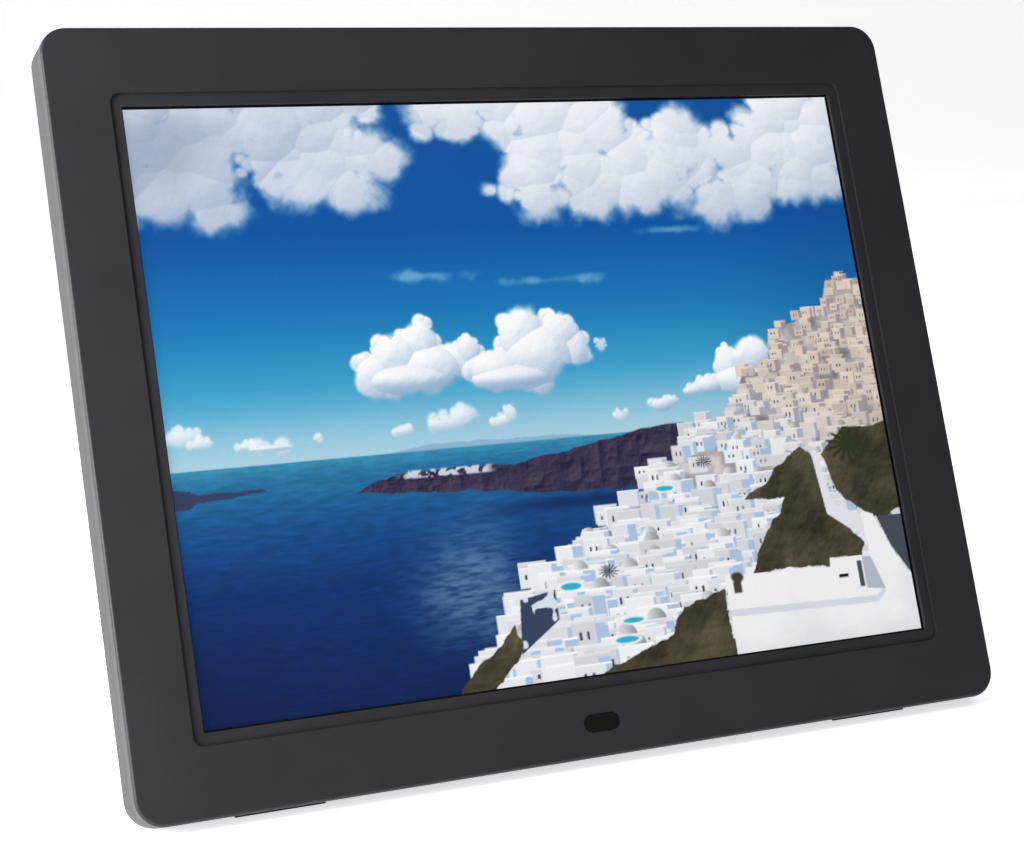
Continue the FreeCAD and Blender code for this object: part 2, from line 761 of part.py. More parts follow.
def make_receiver():
    """Window in the lower rim, and the receiver on its small board behind it."""
    window = new_body("receiver_window")
    seat = "face_thickness + stack_gap"
    pad(window, "window_sink", seat, lambda sketch: stadium(
        sketch, "0", "window_height", "window_half", "window_radius"))
    pad(window, seat, f"{seat} + flange_thickness", lambda sketch: stadium(
        sketch, "0", "window_height", "window_half", "window_radius + window_flange"))
    finish(window)
    board = new_body("receiver_board")
    back = "receiver_board_depth + driver_thickness"
    pad(board, "receiver_board_depth", back, lambda sketch: rectangle(
        sketch, "-receiver_board_half", "receiver_board_half",
        "window_height - receiver_board_height", "window_height + receiver_board_height"))
    pocket(board, f"receiver_board_depth - {OVERRUN}", f"{back} + {OVERRUN}",
           circles(RECEIVER_SCREWS, "screw_radius + hole_gap"))
    finish(board)
    front = "receiver_board_depth - receiver_depth"
    block = box("receiver_block", ("-receiver_width / 2", "receiver_width / 2"),
                (f"{front} + receiver_width / 6", "receiver_board_depth"),
                ("window_height - receiver_height / 2", "window_height + receiver_height / 2"))
    dome = cylinder("receiver_dome", "receiver_width / 2 - hole_gap",
                    ("0", front, "window_height"), "receiver_width / 3")
    finish(fuse("remote_receiver", [block, dome]))


# display module

def sheet_of(label, front, thickness, draw):
    """Make a flat sheet with a drawn outline."""
    body = new_body(label)
    pad(body, front, f"{front} + {thickness}", draw)
    return finish(body)


def make_display():
    """Display module from the front: steel chassis, glass, sheets, light strip and tray."""
    chassis = new_body("display_chassis")
    pad(chassis, "chassis_front", "tray_back", module("0"))
    pocket(chassis, "chassis_front + chassis_thickness", f"tray_back + {OVERRUN}",
           module("chassis_thickness"))
    pocket(chassis, f"chassis_front - {OVERRUN}", "cell_front",
           around_screen("2 * screen_margin", "2 * screen_margin"))
    finish(chassis)
    sheet_of("display_glass", "cell_front", "cell_thickness",
             around_screen("cell_border", "cell_border"))
    tray = new_body("display_tray")
    pad(tray, "diffuser_front", "tray_back", module("tray_inset"))
    pocket(tray, f"diffuser_front - {OVERRUN}", "tray_front", module("tray_inset + tray_thickness"))
    finish(tray)
    sheet_of("diffuser_sheet", "diffuser_front", "diffuser_thickness", module("sheet_inset"))
    sheet_of("light_guide", "guide_front", "guide_thickness", module("sheet_inset", "light_space"))
    sheet_of("reflector_sheet", "reflector_front", "reflector_thickness",
             module("sheet_inset", "light_space"))
    make_light_strip()
    make_driver_board()
    make_side_brackets()


def make_light_strip():
    """Narrow board along the module's lower edge with a row of small lights that face up."""
    low = "middle - module_half_height + sheet_inset"
    reach = "module_half_width - sheet_inset"
    board = box("light_board_plate", (f"-({reach})", reach),
                ("guide_front", "guide_front + guide_thickness"), (low, f"{low} + light_board"))
    lights = []
    count = int(value(f"({reach}) / light_pitch"))
    for step in range(-count + 1, count):
        lights.append(box("light", (f"{step} * light_pitch - light_width / 2",
                                    f"{step} * light_pitch + light_width / 2"),
                          ("guide_front + light_board", "guide_front + guide_thickness - light_board"),
                          (f"{low} + light_board", f"{low} + light_board + light_height")))
    finish(fuse("light_strip", [board] + lights))


def make_driver_board():
    """Display's own circuit board, on the tray's back along its upper edge."""
    high = "middle + module_half_height - driver_drop"
    front = "tray_back + stack_gap"
    plate = box("driver_plate", ("-driver_half", "driver_half"),
                (front, f"{front} + driver_thickness"), (f"{high} - driver_height", high))
    chips = [box("driver_chip", (f"{x} - 8", f"{x} + 8"),
                 (f"{front} + driver_thickness", f"{front} + 2 * driver_thickness"),
                 (f"{high} - driver_height / 2 - 3", f"{high} - driver_height / 2 + 3"))
             for x in ("-80", "-40", "0", "40")]
    finish(fuse("driver_board", [plate] + chips))


def make_side_brackets():
    """Steel strips that hold the module's two sides to the bezel's bosses."""
    for side, label in (("-", "side_bracket_left"), ("+", "side_bracket_right")):
        body = new_body(label)
        front, back = "side_bracket_front", "side_bracket_front + side_bracket_thickness"
        inner = f"{side}(module_half_width - side_bracket_reach)"
        outer = f"{side}(module_half_width + side_bracket_edge)"
        low, high = sorted((inner, outer), key=value)
        tab_low, tab_high = sorted((inner, f"{side}side_boss_x"), key=value)

        def tabs(sketch, low=tab_low, high=tab_high):
            for _, z in SIDE_SCREWS[side]:
                rectangle(sketch, low, high, f"{z} - side_boss_radius", f"{z} + side_boss_radius")
        pad(body, front, back, lambda sketch: rounded(
            sketch, low, high, "middle - side_bracket_half", "middle + side_bracket_half",
            "side_boss_radius"))
        pad(body, front, back, tabs)
        pad(body, front, back, circles(SIDE_SCREWS[side], "side_boss_radius"))
        pocket(body, f"{front} - {OVERRUN}", f"{back} + {OVERRUN}",
               circles(SIDE_SCREWS[side], "screw_radius + through_gap"))
        finish(body)


# main board

def make_main_board():
    """Main circuit board on four standoffs, over an insulating sheet."""
    board = new_body("main_board")
    pad(board, "board_front", "board_back", lambda sketch: rectangle(
        sketch, "board_left", "board_right", "board_low", "board_high"))
    pocket(board, f"board_front - {OVERRUN}", f"board_back + {OVERRUN}",
           circles(BOARD_SCREWS, "screw_radius + through_gap"))
    finish(board)
    insulation = new_body("insulating_sheet")
    front = "tray_back + stack_gap"
    pad(insulation, front, f"{front} + sheet_thickness", lambda sketch: rectangle(
        sketch, "board_left - sheet_margin", "board_right + sheet_margin",
        "board_low - sheet_margin", "board_high + sheet_margin"))
    pocket(insulation, f"{front} - {OVERRUN}", f"{front} + {OVERRUN}",
           circles(BOARD_SCREWS, "standoff_radius + through_gap"))
    finish(insulation)
    pieces = []
    for x, z in BOARD_SCREWS:
        post = cylinder("standoff_post", "standoff_radius", (x, "tray_back", z), "standoff_height")
        hole = cylinder("standoff_hole", "screw_radius + hole_gap",
                        (x, "board_front - screw_grip - hole_gap", z), f"screw_grip + {OVERRUN}")
        pieces.append(cut("standoff", post, [hole]))
    finish(group("board_standoffs", pieces))


def on_board(label, x, z, width, height, rise, base="0"):
    """Make a box on the main board, centred at a place given from the board's lower left corner."""
    across, up = f"board_left + {x}", f"board_low + {z}"
    return box(label, (f"{across} - {width} / 2", f"{across} + {width} / 2"),
               (f"board_back + {base}", f"board_back + {base} + {rise}"),
               (f"{up} - {height} / 2", f"{up} + {height} / 2"))


def make_board_pieces():
    """Chips, shield, capacitors, coil, coin cell and plugs on the main board."""
    chips = [on_board("memory", "20", z, "12", "10", "1.1") for z in ("31", "90")]
    finish(group("board_chips", [on_board("processor", "20", "60", "20", "20", "1.4")] + chips))
    shell = on_board("shield_shell", "20", "60", "32", "32", "3.6")
    hollow = on_board("shield_hollow", "20", "60", "31.2", "31.2", "3.3", "-0.1")
    finish(cut("shield_can", shell, [hollow]))
    finish(group("capacitors", [cylinder("capacitor", "4", (
        f"board_left + {x}", "board_back", "board_low + 14"), "9") for x in (14, 24, 34)]))
    finish(group("power_coil", [on_board("coil", "48", "23", "10", "10", "4")]))
    holder = on_board("cell_holder_block", "20", "118", "25", "25", "4.6")
    seat = cylinder("cell_seat", "10.2", ("board_left + 20", "board_back + 1", "board_low + 118"),
                    "5")
    finish(cut("coin_cell_holder", holder, [seat]))
    finish(group("coin_cell", [cylinder("cell", "10", (
        "board_left + 20", "board_back + 1.1", "board_low + 118"), "3.2")]))
    finish(group("wire_plugs", [on_board("wire_plug", x, "6", "8", "7", "4.6")
                                for x in ("60", "48")] + [
        on_board("display_plug", "58", "134", "20", "6", "4.6")]))


def make_sockets():
    """Five sockets along the board's outer edge, which show in the side of the cover."""
    cavities = {
        "usb_host_socket": ("13.2", "5.8", "13", "11.4", "1.9"),
        "usb_device_socket": ("7", "3.2", "7.5", "5.2", "0.9"),
        "card_socket": ("24.4", "2.4", "25.5", "", ""),
    }
    for label, (rise, width, thickness, length) in SOCKETS.items():
        middle, centre = f"board_low + {rise}", f"board_back + {thickness} / 2"
        block = box(f"{label}_block", (f"socket_face - {length}", "socket_face"),
                    ("board_back", f"board_back + {thickness}"),
                    (f"{middle} - {width} / 2", f"{middle} + {width} / 2"))
        if label in cavities:
            wide, high, deep, tongue_wide, tongue_high = cavities[label]
            tool = box(f"{label}_mouth", (f"socket_face - {deep}", f"socket_face + {OVERRUN}"),
                       (f"{centre} - {high} / 2", f"{centre} + {high} / 2"),
                       (f"{middle} - {wide} / 2", f"{middle} + {wide} / 2"))
            if tongue_wide:
                tongue = box(f"{label}_tongue", (f"socket_face - {deep} - 1", "socket_face - 1.2"),
                             (f"{centre} - {tongue_high} / 2", f"{centre} + {tongue_high} / 2"),
                             (f"{middle} - {tongue_wide} / 2", f"{middle} + {tongue_wide} / 2"))
                tool = cut(f"{label}_room", tool, [tongue])
        elif label == "headphone_socket":
            tool = cylinder(f"{label}_bore", "jack_radius", ("socket_face - jack_depth", centre,
                                                            middle), f"jack_depth + {OVERRUN}", "x")
        else:
            bore = cylinder(f"{label}_bore", "plug_radius", ("socket_face - plug_depth", centre,
                                                            middle), f"plug_depth + {OVERRUN}", "x")
            pin = cylinder(f"{label}_pin", "plug_pin", (
                "socket_face - plug_depth - hole_gap", centre, middle), "plug_pin_length", "x")
            tool = cut(f"{label}_room", bore, [pin])
        finish(cut(label, block, [tool]))


# keys and speakers

def make_keys():
    """Key board with its switches, and one push button over each switch."""
    board = new_body("key_board")
    pad(board, "key_board_front", "key_board_back", lambda sketch: rectangle(
        sketch, "key_x - key_board_half", "key_x + key_board_half",
        "key_z - key_board_below", "key_z + key_board_above"))
    pocket(board, f"key_board_front - {OVERRUN}", f"key_board_back + {OVERRUN}",
           circles(KEY_BOARD_SCREWS, "screw_radius + hole_gap"))
    finish(board)
    switches = []
    for label, (x, z) in KEYS.items():
        case = box(f"{label}_switch", (f"{x} - switch_half", f"{x} + switch_half"),
                   ("key_board_back", "key_board_back + switch_height"),
                   (f"{z} - switch_half", f"{z} + switch_half"))
        plunger = cylinder(f"{label}_plunger", "plunger_radius",
                           (x, "key_board_back + switch_height", z), "plunger_height")
        switches.append(fuse(f"{label}_tact", [case, plunger]))
        key = new_body(label)
        flange_back = "key_flange_front + key_flange_thickness"
        pad(key, "key_flange_front", flange_back, circles([(x, z)], "key_flange"))
        pad(key, flange_back, "plateau_back + key_proud", circles([(x, z)], "key_radius"))
        top = value("plateau_back + key_proud")
        round_edges(key, "key_round", lambda bounds: bounds.YMin > top - SMALL)
        finish(key)
    finish(group("tact_switches", switches))


def make_speakers():
    """Round speakers behind their slots, each sealed to the cover by a foam ring."""
    gaskets = []
    for side, label in (("-", "speaker_left"), ("+", "speaker_right")):
        x = f"{side}speaker_x"
        magnet = cylinder(f"{label}_magnet", "speaker_magnet", (x, "speaker_front", "speaker_z"),
                          "magnet_height")
        basket = cone(f"{label}_basket", ("speaker_magnet", "speaker_radius"),
                      (x, "speaker_front + magnet_height", "speaker_z"), "speaker_basket")
        rim = cylinder(f"{label}_rim", "speaker_radius",
                       (x, "gasket_front - speaker_rim", "speaker_z"), "speaker_rim")
        dish = cone(f"{label}_dish", ("speaker_magnet / 2", "speaker_mouth"),
                    (x, "gasket_front - speaker_rim - speaker_rim / 2", "speaker_z"),
                    f"speaker_rim * 1.5 + {SMALL}")
        finish(cut(label, fuse(f"{label}_frame", [magnet, basket, rim]), [dish]))
        ring = cylinder(f"{label}_ring", "speaker_radius", (x, "gasket_front", "speaker_z"),
                        "gasket_thickness")
        bore = cylinder(f"{label}_ring_bore", "speaker_mouth",
                        (x, f"gasket_front - {OVERRUN}", "speaker_z"),
                        f"gasket_thickness + 2 * {OVERRUN}")
        gaskets.append(cut(f"{label}_gasket", ring, [bore]))
    finish(group("speaker_gaskets", gaskets))


# wiring

def wire(label, points):
    """Make a round wire through points: straight runs joined by arcs as large as they allow."""
    places = [FreeCAD.Vector(*map(value, point)) for point in points]
    edges, start = [], places[0]
    for before, corner, after in zip(places, places[1:], places[2:]):
        into, out = (corner - before), (after - corner)
        trim = 0.45 * min(into.Length, out.Length)
        arc_start = corner - into.normalize() * trim
        arc_end = corner + out.normalize() * trim
        towards = (arc_start + arc_end) * 0.5 - corner
        half_turn = into.getAngle(out) / 2
        radius = trim / tangent(half_turn)
        reach = (radius ** 2 + trim ** 2) ** 0.5 - radius
        middle = corner + towards.normalize() * reach
        edges.append(Part.LineSegment(start, arc_start).toShape())
        edges.append(Part.Arc(arc_start, middle, arc_end).toShape())
        start = arc_end
    edges.append(Part.LineSegment(start, places[-1]).toShape())
    path = Part.Wire(edges)
    heading = (places[1] - places[0]).normalize()
    section = Part.Wire([Part.Circle(places[0], heading, value("wire_radius")).toShape()])
    item = document.addObject("Part::Feature", label)
    item.Shape = path.makePipeShell([section], True, True)
    finish(item)


def tangent(angle):
    """Work out the tangent of an angle in radians."""
    return float(sheet.evalExpression(f"tan({angle} * 180 / pi)"))


def strip(label, runs):
    """Make a flat ribbon from straight runs, each given as its box."""
    finish(fuse(label, [box(f"{label}_run", *run) for run in runs]))


def make_wiring():
    """Ribbons to the display and the keys, and wires to the speakers and the receiver."""
    plug_low, plug_depth = "board_low + 2.5", "board_back + 2.5"
    wire("speaker_wire_left", [
        ("-speaker_x + 8.6", "speaker_front + 1.8", "speaker_z + 3"),
        ("-speaker_x + 24", "speaker_front - 1", "speaker_z + 12"),
        ("-channel_half", "tray_back + 4", "speaker_z + 18"),
        ("-8", "tray_back + 3", "speaker_z + 20"),
        ("24", "tray_back + 3", "speaker_z + 19"),
        ("channel_half + 12", "tray_back + 5", "speaker_z + 17"),
        ("board_left + 22", "board_back", "speaker_z + 18"),
        ("board_left + 40", "board_back + 1.5", "speaker_z + 20"),
        ("board_left + 46", plug_depth, "board_low - 6"),
        ("board_left + 46", plug_depth, plug_low)])
    wire("speaker_wire_right", [
        ("speaker_x", "speaker_front + 1.8", "speaker_z + speaker_magnet + 0.3"),
        ("speaker_x + 1", "speaker_front + 2.2", "speaker_z + 17"),
        ("board_left + 50", plug_depth, "board_low - 7"),
        ("board_left + 50", plug_depth, plug_low)])
    wire("receiver_wire", [
        ("5", "receiver_board_depth + driver_thickness + 0.2", "window_height + 4"),
        ("8", "tray_back + 1.8", "window_height + 6"),
        ("channel_half", "tray_back + 2.6", "plateau_low - 4"),
        ("speaker_x - 5", "tray_back + 2.6", "plateau_low - 1"),
        ("speaker_x + 21", "tray_back + 3.3", "speaker_z - 8"),
        ("speaker_x + 24", "tray_back + 5.3", "speaker_z + 10"),
        ("board_left + 62", "board_back + 1.5", "speaker_z + 24"),
        ("board_left + 60", plug_depth, "board_low - 4"),
        ("board_left + 60", plug_depth, plug_low)])
    ribbon = "ribbon_thickness"
    back = "board_back + 3"
    driver_back = "tray_back + stack_gap + driver_thickness"
    driver_low = "middle + module_half_height - driver_drop - driver_height"
    across = ("board_left + 50", "board_left + 66")
    strip("display_ribbon", [
        (across, (back, f"{back} + {ribbon}"), ("board_low + 137", "board_high + 6")),
        (across, (driver_back, f"{back} + {ribbon}"),
         (f"board_high + 6 - {ribbon}", "board_high + 6")),
        (across, (driver_back, f"{driver_back} + {ribbon}"),
         (f"board_high + 6 - {ribbon}", f"{driver_low} + 5"))])
    level = ("channel_high + 12", "channel_high + 22")
    run = "tray_back + 2.4"
    strip("key_ribbon", [
        (("key_x + 24", f"key_x + 24 + {ribbon}"), (run, "key_board_front"), level),
        (("key_x + 24", "board_left + 8"), (run, f"{run} + {ribbon}"), level),
        (("board_left + 8", f"board_left + 8 + {ribbon}"), (run, "board_front"), level)])


# stand

def make_hinge():
    """Steel bracket with two ears, its sunk screws, the pin, its clip and two washers."""
    plate = box("bracket_plate", ("-(ear_outside)", "ear_outside"),
                ("channel_floor", "channel_floor + bracket_thickness"),
                ("pivot_height - bracket_half", "pivot_height + bracket_half"))
    solids, holes, screw_pieces = [plate], [], []
    for side in MIRROR:
        low, high = sorted((f"{side}ear_inside", f"{side}ear_outside"), key=value)
        solids.append(box("ear_web", (low, high), ("channel_floor", "pivot_depth"),
                          ("pivot_height - ear_radius", "pivot_height + ear_radius")))
        solids.append(cylinder("ear_round", "ear_radius", (low, "pivot_depth", "pivot_height"),
                               "ear_thickness", "x"))
    holes.append(cylinder("ear_hole", "pin_radius + ear_clearance",
                          ("-(ear_outside + 1)", "pivot_depth", "pivot_height"),
                          "2 * (ear_outside + 1)", "x"))
    for x, z in BRACKET_SCREWS:
        holes.append(cone("sunk_hole", ("screw_radius + hole_gap", "screw_head + hole_gap"),
                          (x, "channel_floor", z), f"bracket_thickness + {SMALL}"))
        head = cone("sunk_head", ("screw_radius", "screw_head"), (x, "channel_floor", z),
                    "bracket_thickness")
        shank = cylinder("sunk_shank", "screw_radius", (x, "channel_floor - screw_grip", z),
                         f"screw_grip + {SMALL}")
        screw_pieces.append(fuse("sunk_screw", [head, shank]))
    finish(cut("hinge_bracket", fuse("bracket_body", solids), holes))
    finish(group("bracket_screws", screw_pieces))
    cap_start = "-(ear_outside + hole_gap + pin_cap)"
    end = "ear_outside + 2 * pin_cap"
    shaft = cylinder("pin_shaft", "pin_radius", (cap_start, "pivot_depth", "pivot_height"),
                     f"{end} - ({cap_start})", "x")
    cap = cylinder("pin_cap_disc", "pin_head", (cap_start, "pivot_depth", "pivot_height"),
                   "pin_cap", "x")
    finish(fuse("hinge_pin", [shaft, cap]))
    finish(ring_group("pin_clip", "pin_head", ["ear_outside + hole_gap"], "pin_cap / 2"))
    slack = "(washer_space - washer_thickness) / 2"
    finish(ring_group("hinge_washers", "knuckle_radius - hole_gap",
                      [f"knuckle_half + {slack}", f"-(ear_inside - {slack})"],
                      "washer_thickness"))


def ring_group(label, radius, starts, length):
    """Make flat rings on the hinge pin."""
    pieces = []
    for start in starts:
        disc = cylinder(f"{label}_disc", radius, (start, "pivot_depth", "pivot_height"), length, "x")
        bore = cylinder(f"{label}_bore", "pin_radius + ear_clearance",
                        (f"{start} - {OVERRUN}", "pivot_depth", "pivot_height"),
                        f"{length} + 2 * {OVERRUN}", "x")
        pieces.append(cut(f"{label}_ring", disc, [bore]))
    return group(label, pieces)


def make_leg():
    """Leg with its knuckle, in its own axes, and the rubber shoe that stands on the surface."""
    leg = new_body("stand_leg")
    pad(leg, "-leg_front", "leg_back", lambda sketch: polygon(sketch, [
        ("-knuckle_half", "0"), ("-leg_foot_half", "-leg_length"),
        ("leg_foot_half", "-leg_length"), ("knuckle_half", "0")]))
    pad(leg, "-knuckle_half", "knuckle_half", circles([("0", "0")], "knuckle_radius"), "YZ_Plane")
    pocket(leg, f"-knuckle_half - {OVERRUN}", f"knuckle_half + {OVERRUN}",
           circles([("0", "0")], "pin_radius + pin_clearance"), "YZ_Plane")
    pocket(leg, "leg_back - leg_relief", f"leg_back + {OVERRUN}", lambda sketch: rounded(
        sketch, "-(knuckle_half - channel_corner)", "knuckle_half - channel_corner",
        "-(leg_length - 2 * shoe_height)", "-2 * knuckle_radius", "channel_corner"))
    finish(leg, "Leg")
    block = new_body("shoe_block")
    pad(block, "0", "shoe_height", lambda sketch: rounded(
        sketch, "-(leg_foot_half + shoe_side)", "leg_foot_half + shoe_side",
        "shoe_reach - shoe_front", "shoe_reach + shoe_back", "shoe_corner"), "XY_Plane")
    slot = document.addObject("Part::Box", "shoe_slot")
    slot.setExpression("Length", formula("2 * leg_foot_half"))
    slot.setExpression("Width", formula("leg_front + leg_back"))
    slot.setExpression("Height", formula("2 * shoe_height"))
    slot.setExpression("Placement", "Floor.Placement ^ -1 * Leg.Placement * " + placing(
        "-leg_foot_half", "-leg_front", "-leg_length"))
    finish(cut("leg_shoe", block, [slot]), "Floor")


def check():
    """Stop if any object failed, or any sub-part has no valid solid."""
    failed = [item.Label for item in document.Objects
              if {"Invalid", "Error"} & set(item.State)]
    empty = [item.Label for item in subparts if item.Shape.isNull() or not item.Shape.isValid()
             or not item.Shape.Solids]
    if failed or empty:
        raise RuntimeError(f"failed: {failed}; no valid solid: {empty}")


def main():
    """Build every sub-part, check them and write one STEP file each."""
    make_poses()
    make_front_bezel()
    make_rear_cover()
    make_screws()
    make_feet()
    make_receiver()
    make_display()
    make_main_board()
    make_board_pieces()
    make_sockets()
    make_keys()
    make_speakers()
    make_wiring()
    make_hinge()
    make_leg()
    document.recompute()
    check()
    os.makedirs("parts", exist_ok=True)
    for item in subparts:
        item.Shape.exportStep(f"parts/{item.Label}.step")
    print(len(subparts), "sub-parts")


main()
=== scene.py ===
"""Digital photo frame: finishes, picture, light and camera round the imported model.

Lengths are in metres. The panel's own axes are x to the right, y into the frame from its front
face, and z up along the panel, with their origin at the middle of the front face.
"""

import json
import logging
import math
from dataclasses import dataclass, field
from enum import Enum

import bpy
import numpy as np
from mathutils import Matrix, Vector

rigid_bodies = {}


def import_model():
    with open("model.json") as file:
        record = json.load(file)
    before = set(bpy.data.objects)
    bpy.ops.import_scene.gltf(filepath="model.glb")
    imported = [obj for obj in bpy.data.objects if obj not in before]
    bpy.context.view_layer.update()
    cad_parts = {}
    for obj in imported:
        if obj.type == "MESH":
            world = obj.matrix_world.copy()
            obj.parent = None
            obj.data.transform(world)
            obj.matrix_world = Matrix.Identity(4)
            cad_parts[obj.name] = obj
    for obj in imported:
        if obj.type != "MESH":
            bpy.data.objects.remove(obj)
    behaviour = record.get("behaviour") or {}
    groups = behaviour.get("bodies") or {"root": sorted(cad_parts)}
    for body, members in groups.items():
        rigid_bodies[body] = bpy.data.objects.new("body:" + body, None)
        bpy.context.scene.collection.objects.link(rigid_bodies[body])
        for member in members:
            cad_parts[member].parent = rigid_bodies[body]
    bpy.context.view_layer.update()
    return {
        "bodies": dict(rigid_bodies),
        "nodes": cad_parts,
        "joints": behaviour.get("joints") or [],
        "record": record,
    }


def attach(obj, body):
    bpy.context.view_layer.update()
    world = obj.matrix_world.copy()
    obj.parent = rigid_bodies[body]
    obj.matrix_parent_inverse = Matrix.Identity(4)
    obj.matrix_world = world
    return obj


LOG = logging.getLogger("photo_frame")
MM = 0.001
CASE = "case"
FULL = 255.0
FOOT_END, FOOT_SLOPE = 0.04045, 12.92
CURVE_SHIFT, CURVE_POWER = 0.055, 2.4
Colour = tuple[float, float, float]
Point = tuple[float, float]


def linear(colour: np.ndarray | Colour) -> np.ndarray:
    """Turn display colours into linear light, by the usual curve with a straight foot.

    Args:
        colour: values from 0 to 255.

    Returns:
        Values from 0 to 1.
    """
    share = np.asarray(colour, dtype=float) / FULL
    curve = ((share + CURVE_SHIFT) / (1.0 + CURVE_SHIFT)) ** CURVE_POWER
    return np.where(share <= FOOT_END, share / FOOT_SLOPE, curve)


def soft_step(value: np.ndarray, low: float, high: float) -> np.ndarray:
    """Rise smoothly from 0 at low to 1 at high: three times the share squared, less two cubed."""
    share = np.clip((value - low) / (high - low), 0.0, 1.0)
    return share * share * (3.0 - 2.0 * share)


# ---------------------------------------------------------------- the panel's axes

@dataclass
class Panel:
    """The leaning panel: its lean, and the place of its front face."""

    frame: dict
    lean: float = field(init=False)
    origin: np.ndarray = field(init=False)

    def __post_init__(self) -> None:
        """Read the lean off a key's direction, and the front face off the bezel."""
        joints = self.frame["record"]["behaviour"]["joints"]
        press = next(joint["axis"] for joint in joints if joint["name"] == "key_enter_press")
        self.lean = math.atan2(press[2], -press[1])
        self.origin = np.zeros(3)
        low, high = self.extent("front_bezel")
        middle = (low + high) / 2.0
        self.origin = self.to_row(np.array([middle[0], low[1], middle[2]]))

    def to_row(self, points: np.ndarray) -> np.ndarray:
        """Carry points from the panel's axes into the row frame: a turn about x, then a shift.

        Args:
            points: places whose last axis holds x, y and z.

        Returns:
            The same places in the row frame.
        """
        cos, sin = math.cos(self.lean), math.sin(self.lean)
        x, y, z = np.moveaxis(np.asarray(points, dtype=float), -1, 0)
        return np.stack([x, y * cos + z * sin, z * cos - y * sin], axis=-1) + self.origin

    def to_panel(self, points: np.ndarray) -> np.ndarray:
        """Carry points from the row frame into the panel's axes: the same steps undone.

        Args:
            points: places whose last axis holds x, y and z.

        Returns:
            The same places along the panel's axes.
        """
        cos, sin = math.cos(self.lean), math.sin(self.lean)
        x, y, z = np.moveaxis(np.asarray(points, dtype=float) - self.origin, -1, 0)
        return np.stack([x, y * cos - z * sin, z * cos + y * sin], axis=-1)

    def extent(self, node: str) -> tuple[np.ndarray, np.ndarray]:
        """Find a node's box along the panel's axes.

        Args:
            node: the node's name.

        Returns:
            The lowest and the highest corner.
        """
        mesh = self.frame["nodes"][node].data
        flat = np.empty(len(mesh.vertices) * 3)
        mesh.vertices.foreach_get("co", flat)
        points = self.to_panel(flat.reshape(-1, 3))
        return points.min(axis=0), points.max(axis=0)


def add_surface(name: str, points: np.ndarray, flip: bool = False) -> bpy.types.Object:
    """Make a smooth mesh from a grid of points: each square of four neighbours is a face.

    Args:
        name: the piece's name.
        points: an array of rows by columns by 3, in the row frame.
        flip: turn the faces round.

    Returns:
        The new object, at the origin.
    """
    rows, columns = points.shape[:2]
    index = np.arange(rows * columns).reshape(rows, columns)
    faces = np.stack([index[:-1, :-1], index[:-1, 1:], index[1:, 1:], index[1:, :-1]], axis=-1)
    faces = faces.reshape(-1, 4)
    if flip:
        faces = faces[:, ::-1]
    mesh = bpy.data.meshes.new(name)
    mesh.from_pydata(points.reshape(-1, 3).tolist(), [], faces.tolist())
    mesh.polygons.foreach_set("use_smooth", [True] * len(mesh.polygons))
    piece = bpy.data.objects.new(name, mesh)
    bpy.context.scene.collection.objects.link(piece)
    return piece


# ---------------------------------------------------------------- finishes

class MixSocket(Enum):
    """The places of a colour mix's sockets on its node."""

    SHARE = 0
    FIRST = 6
    SECOND = 7
    RESULT = 2


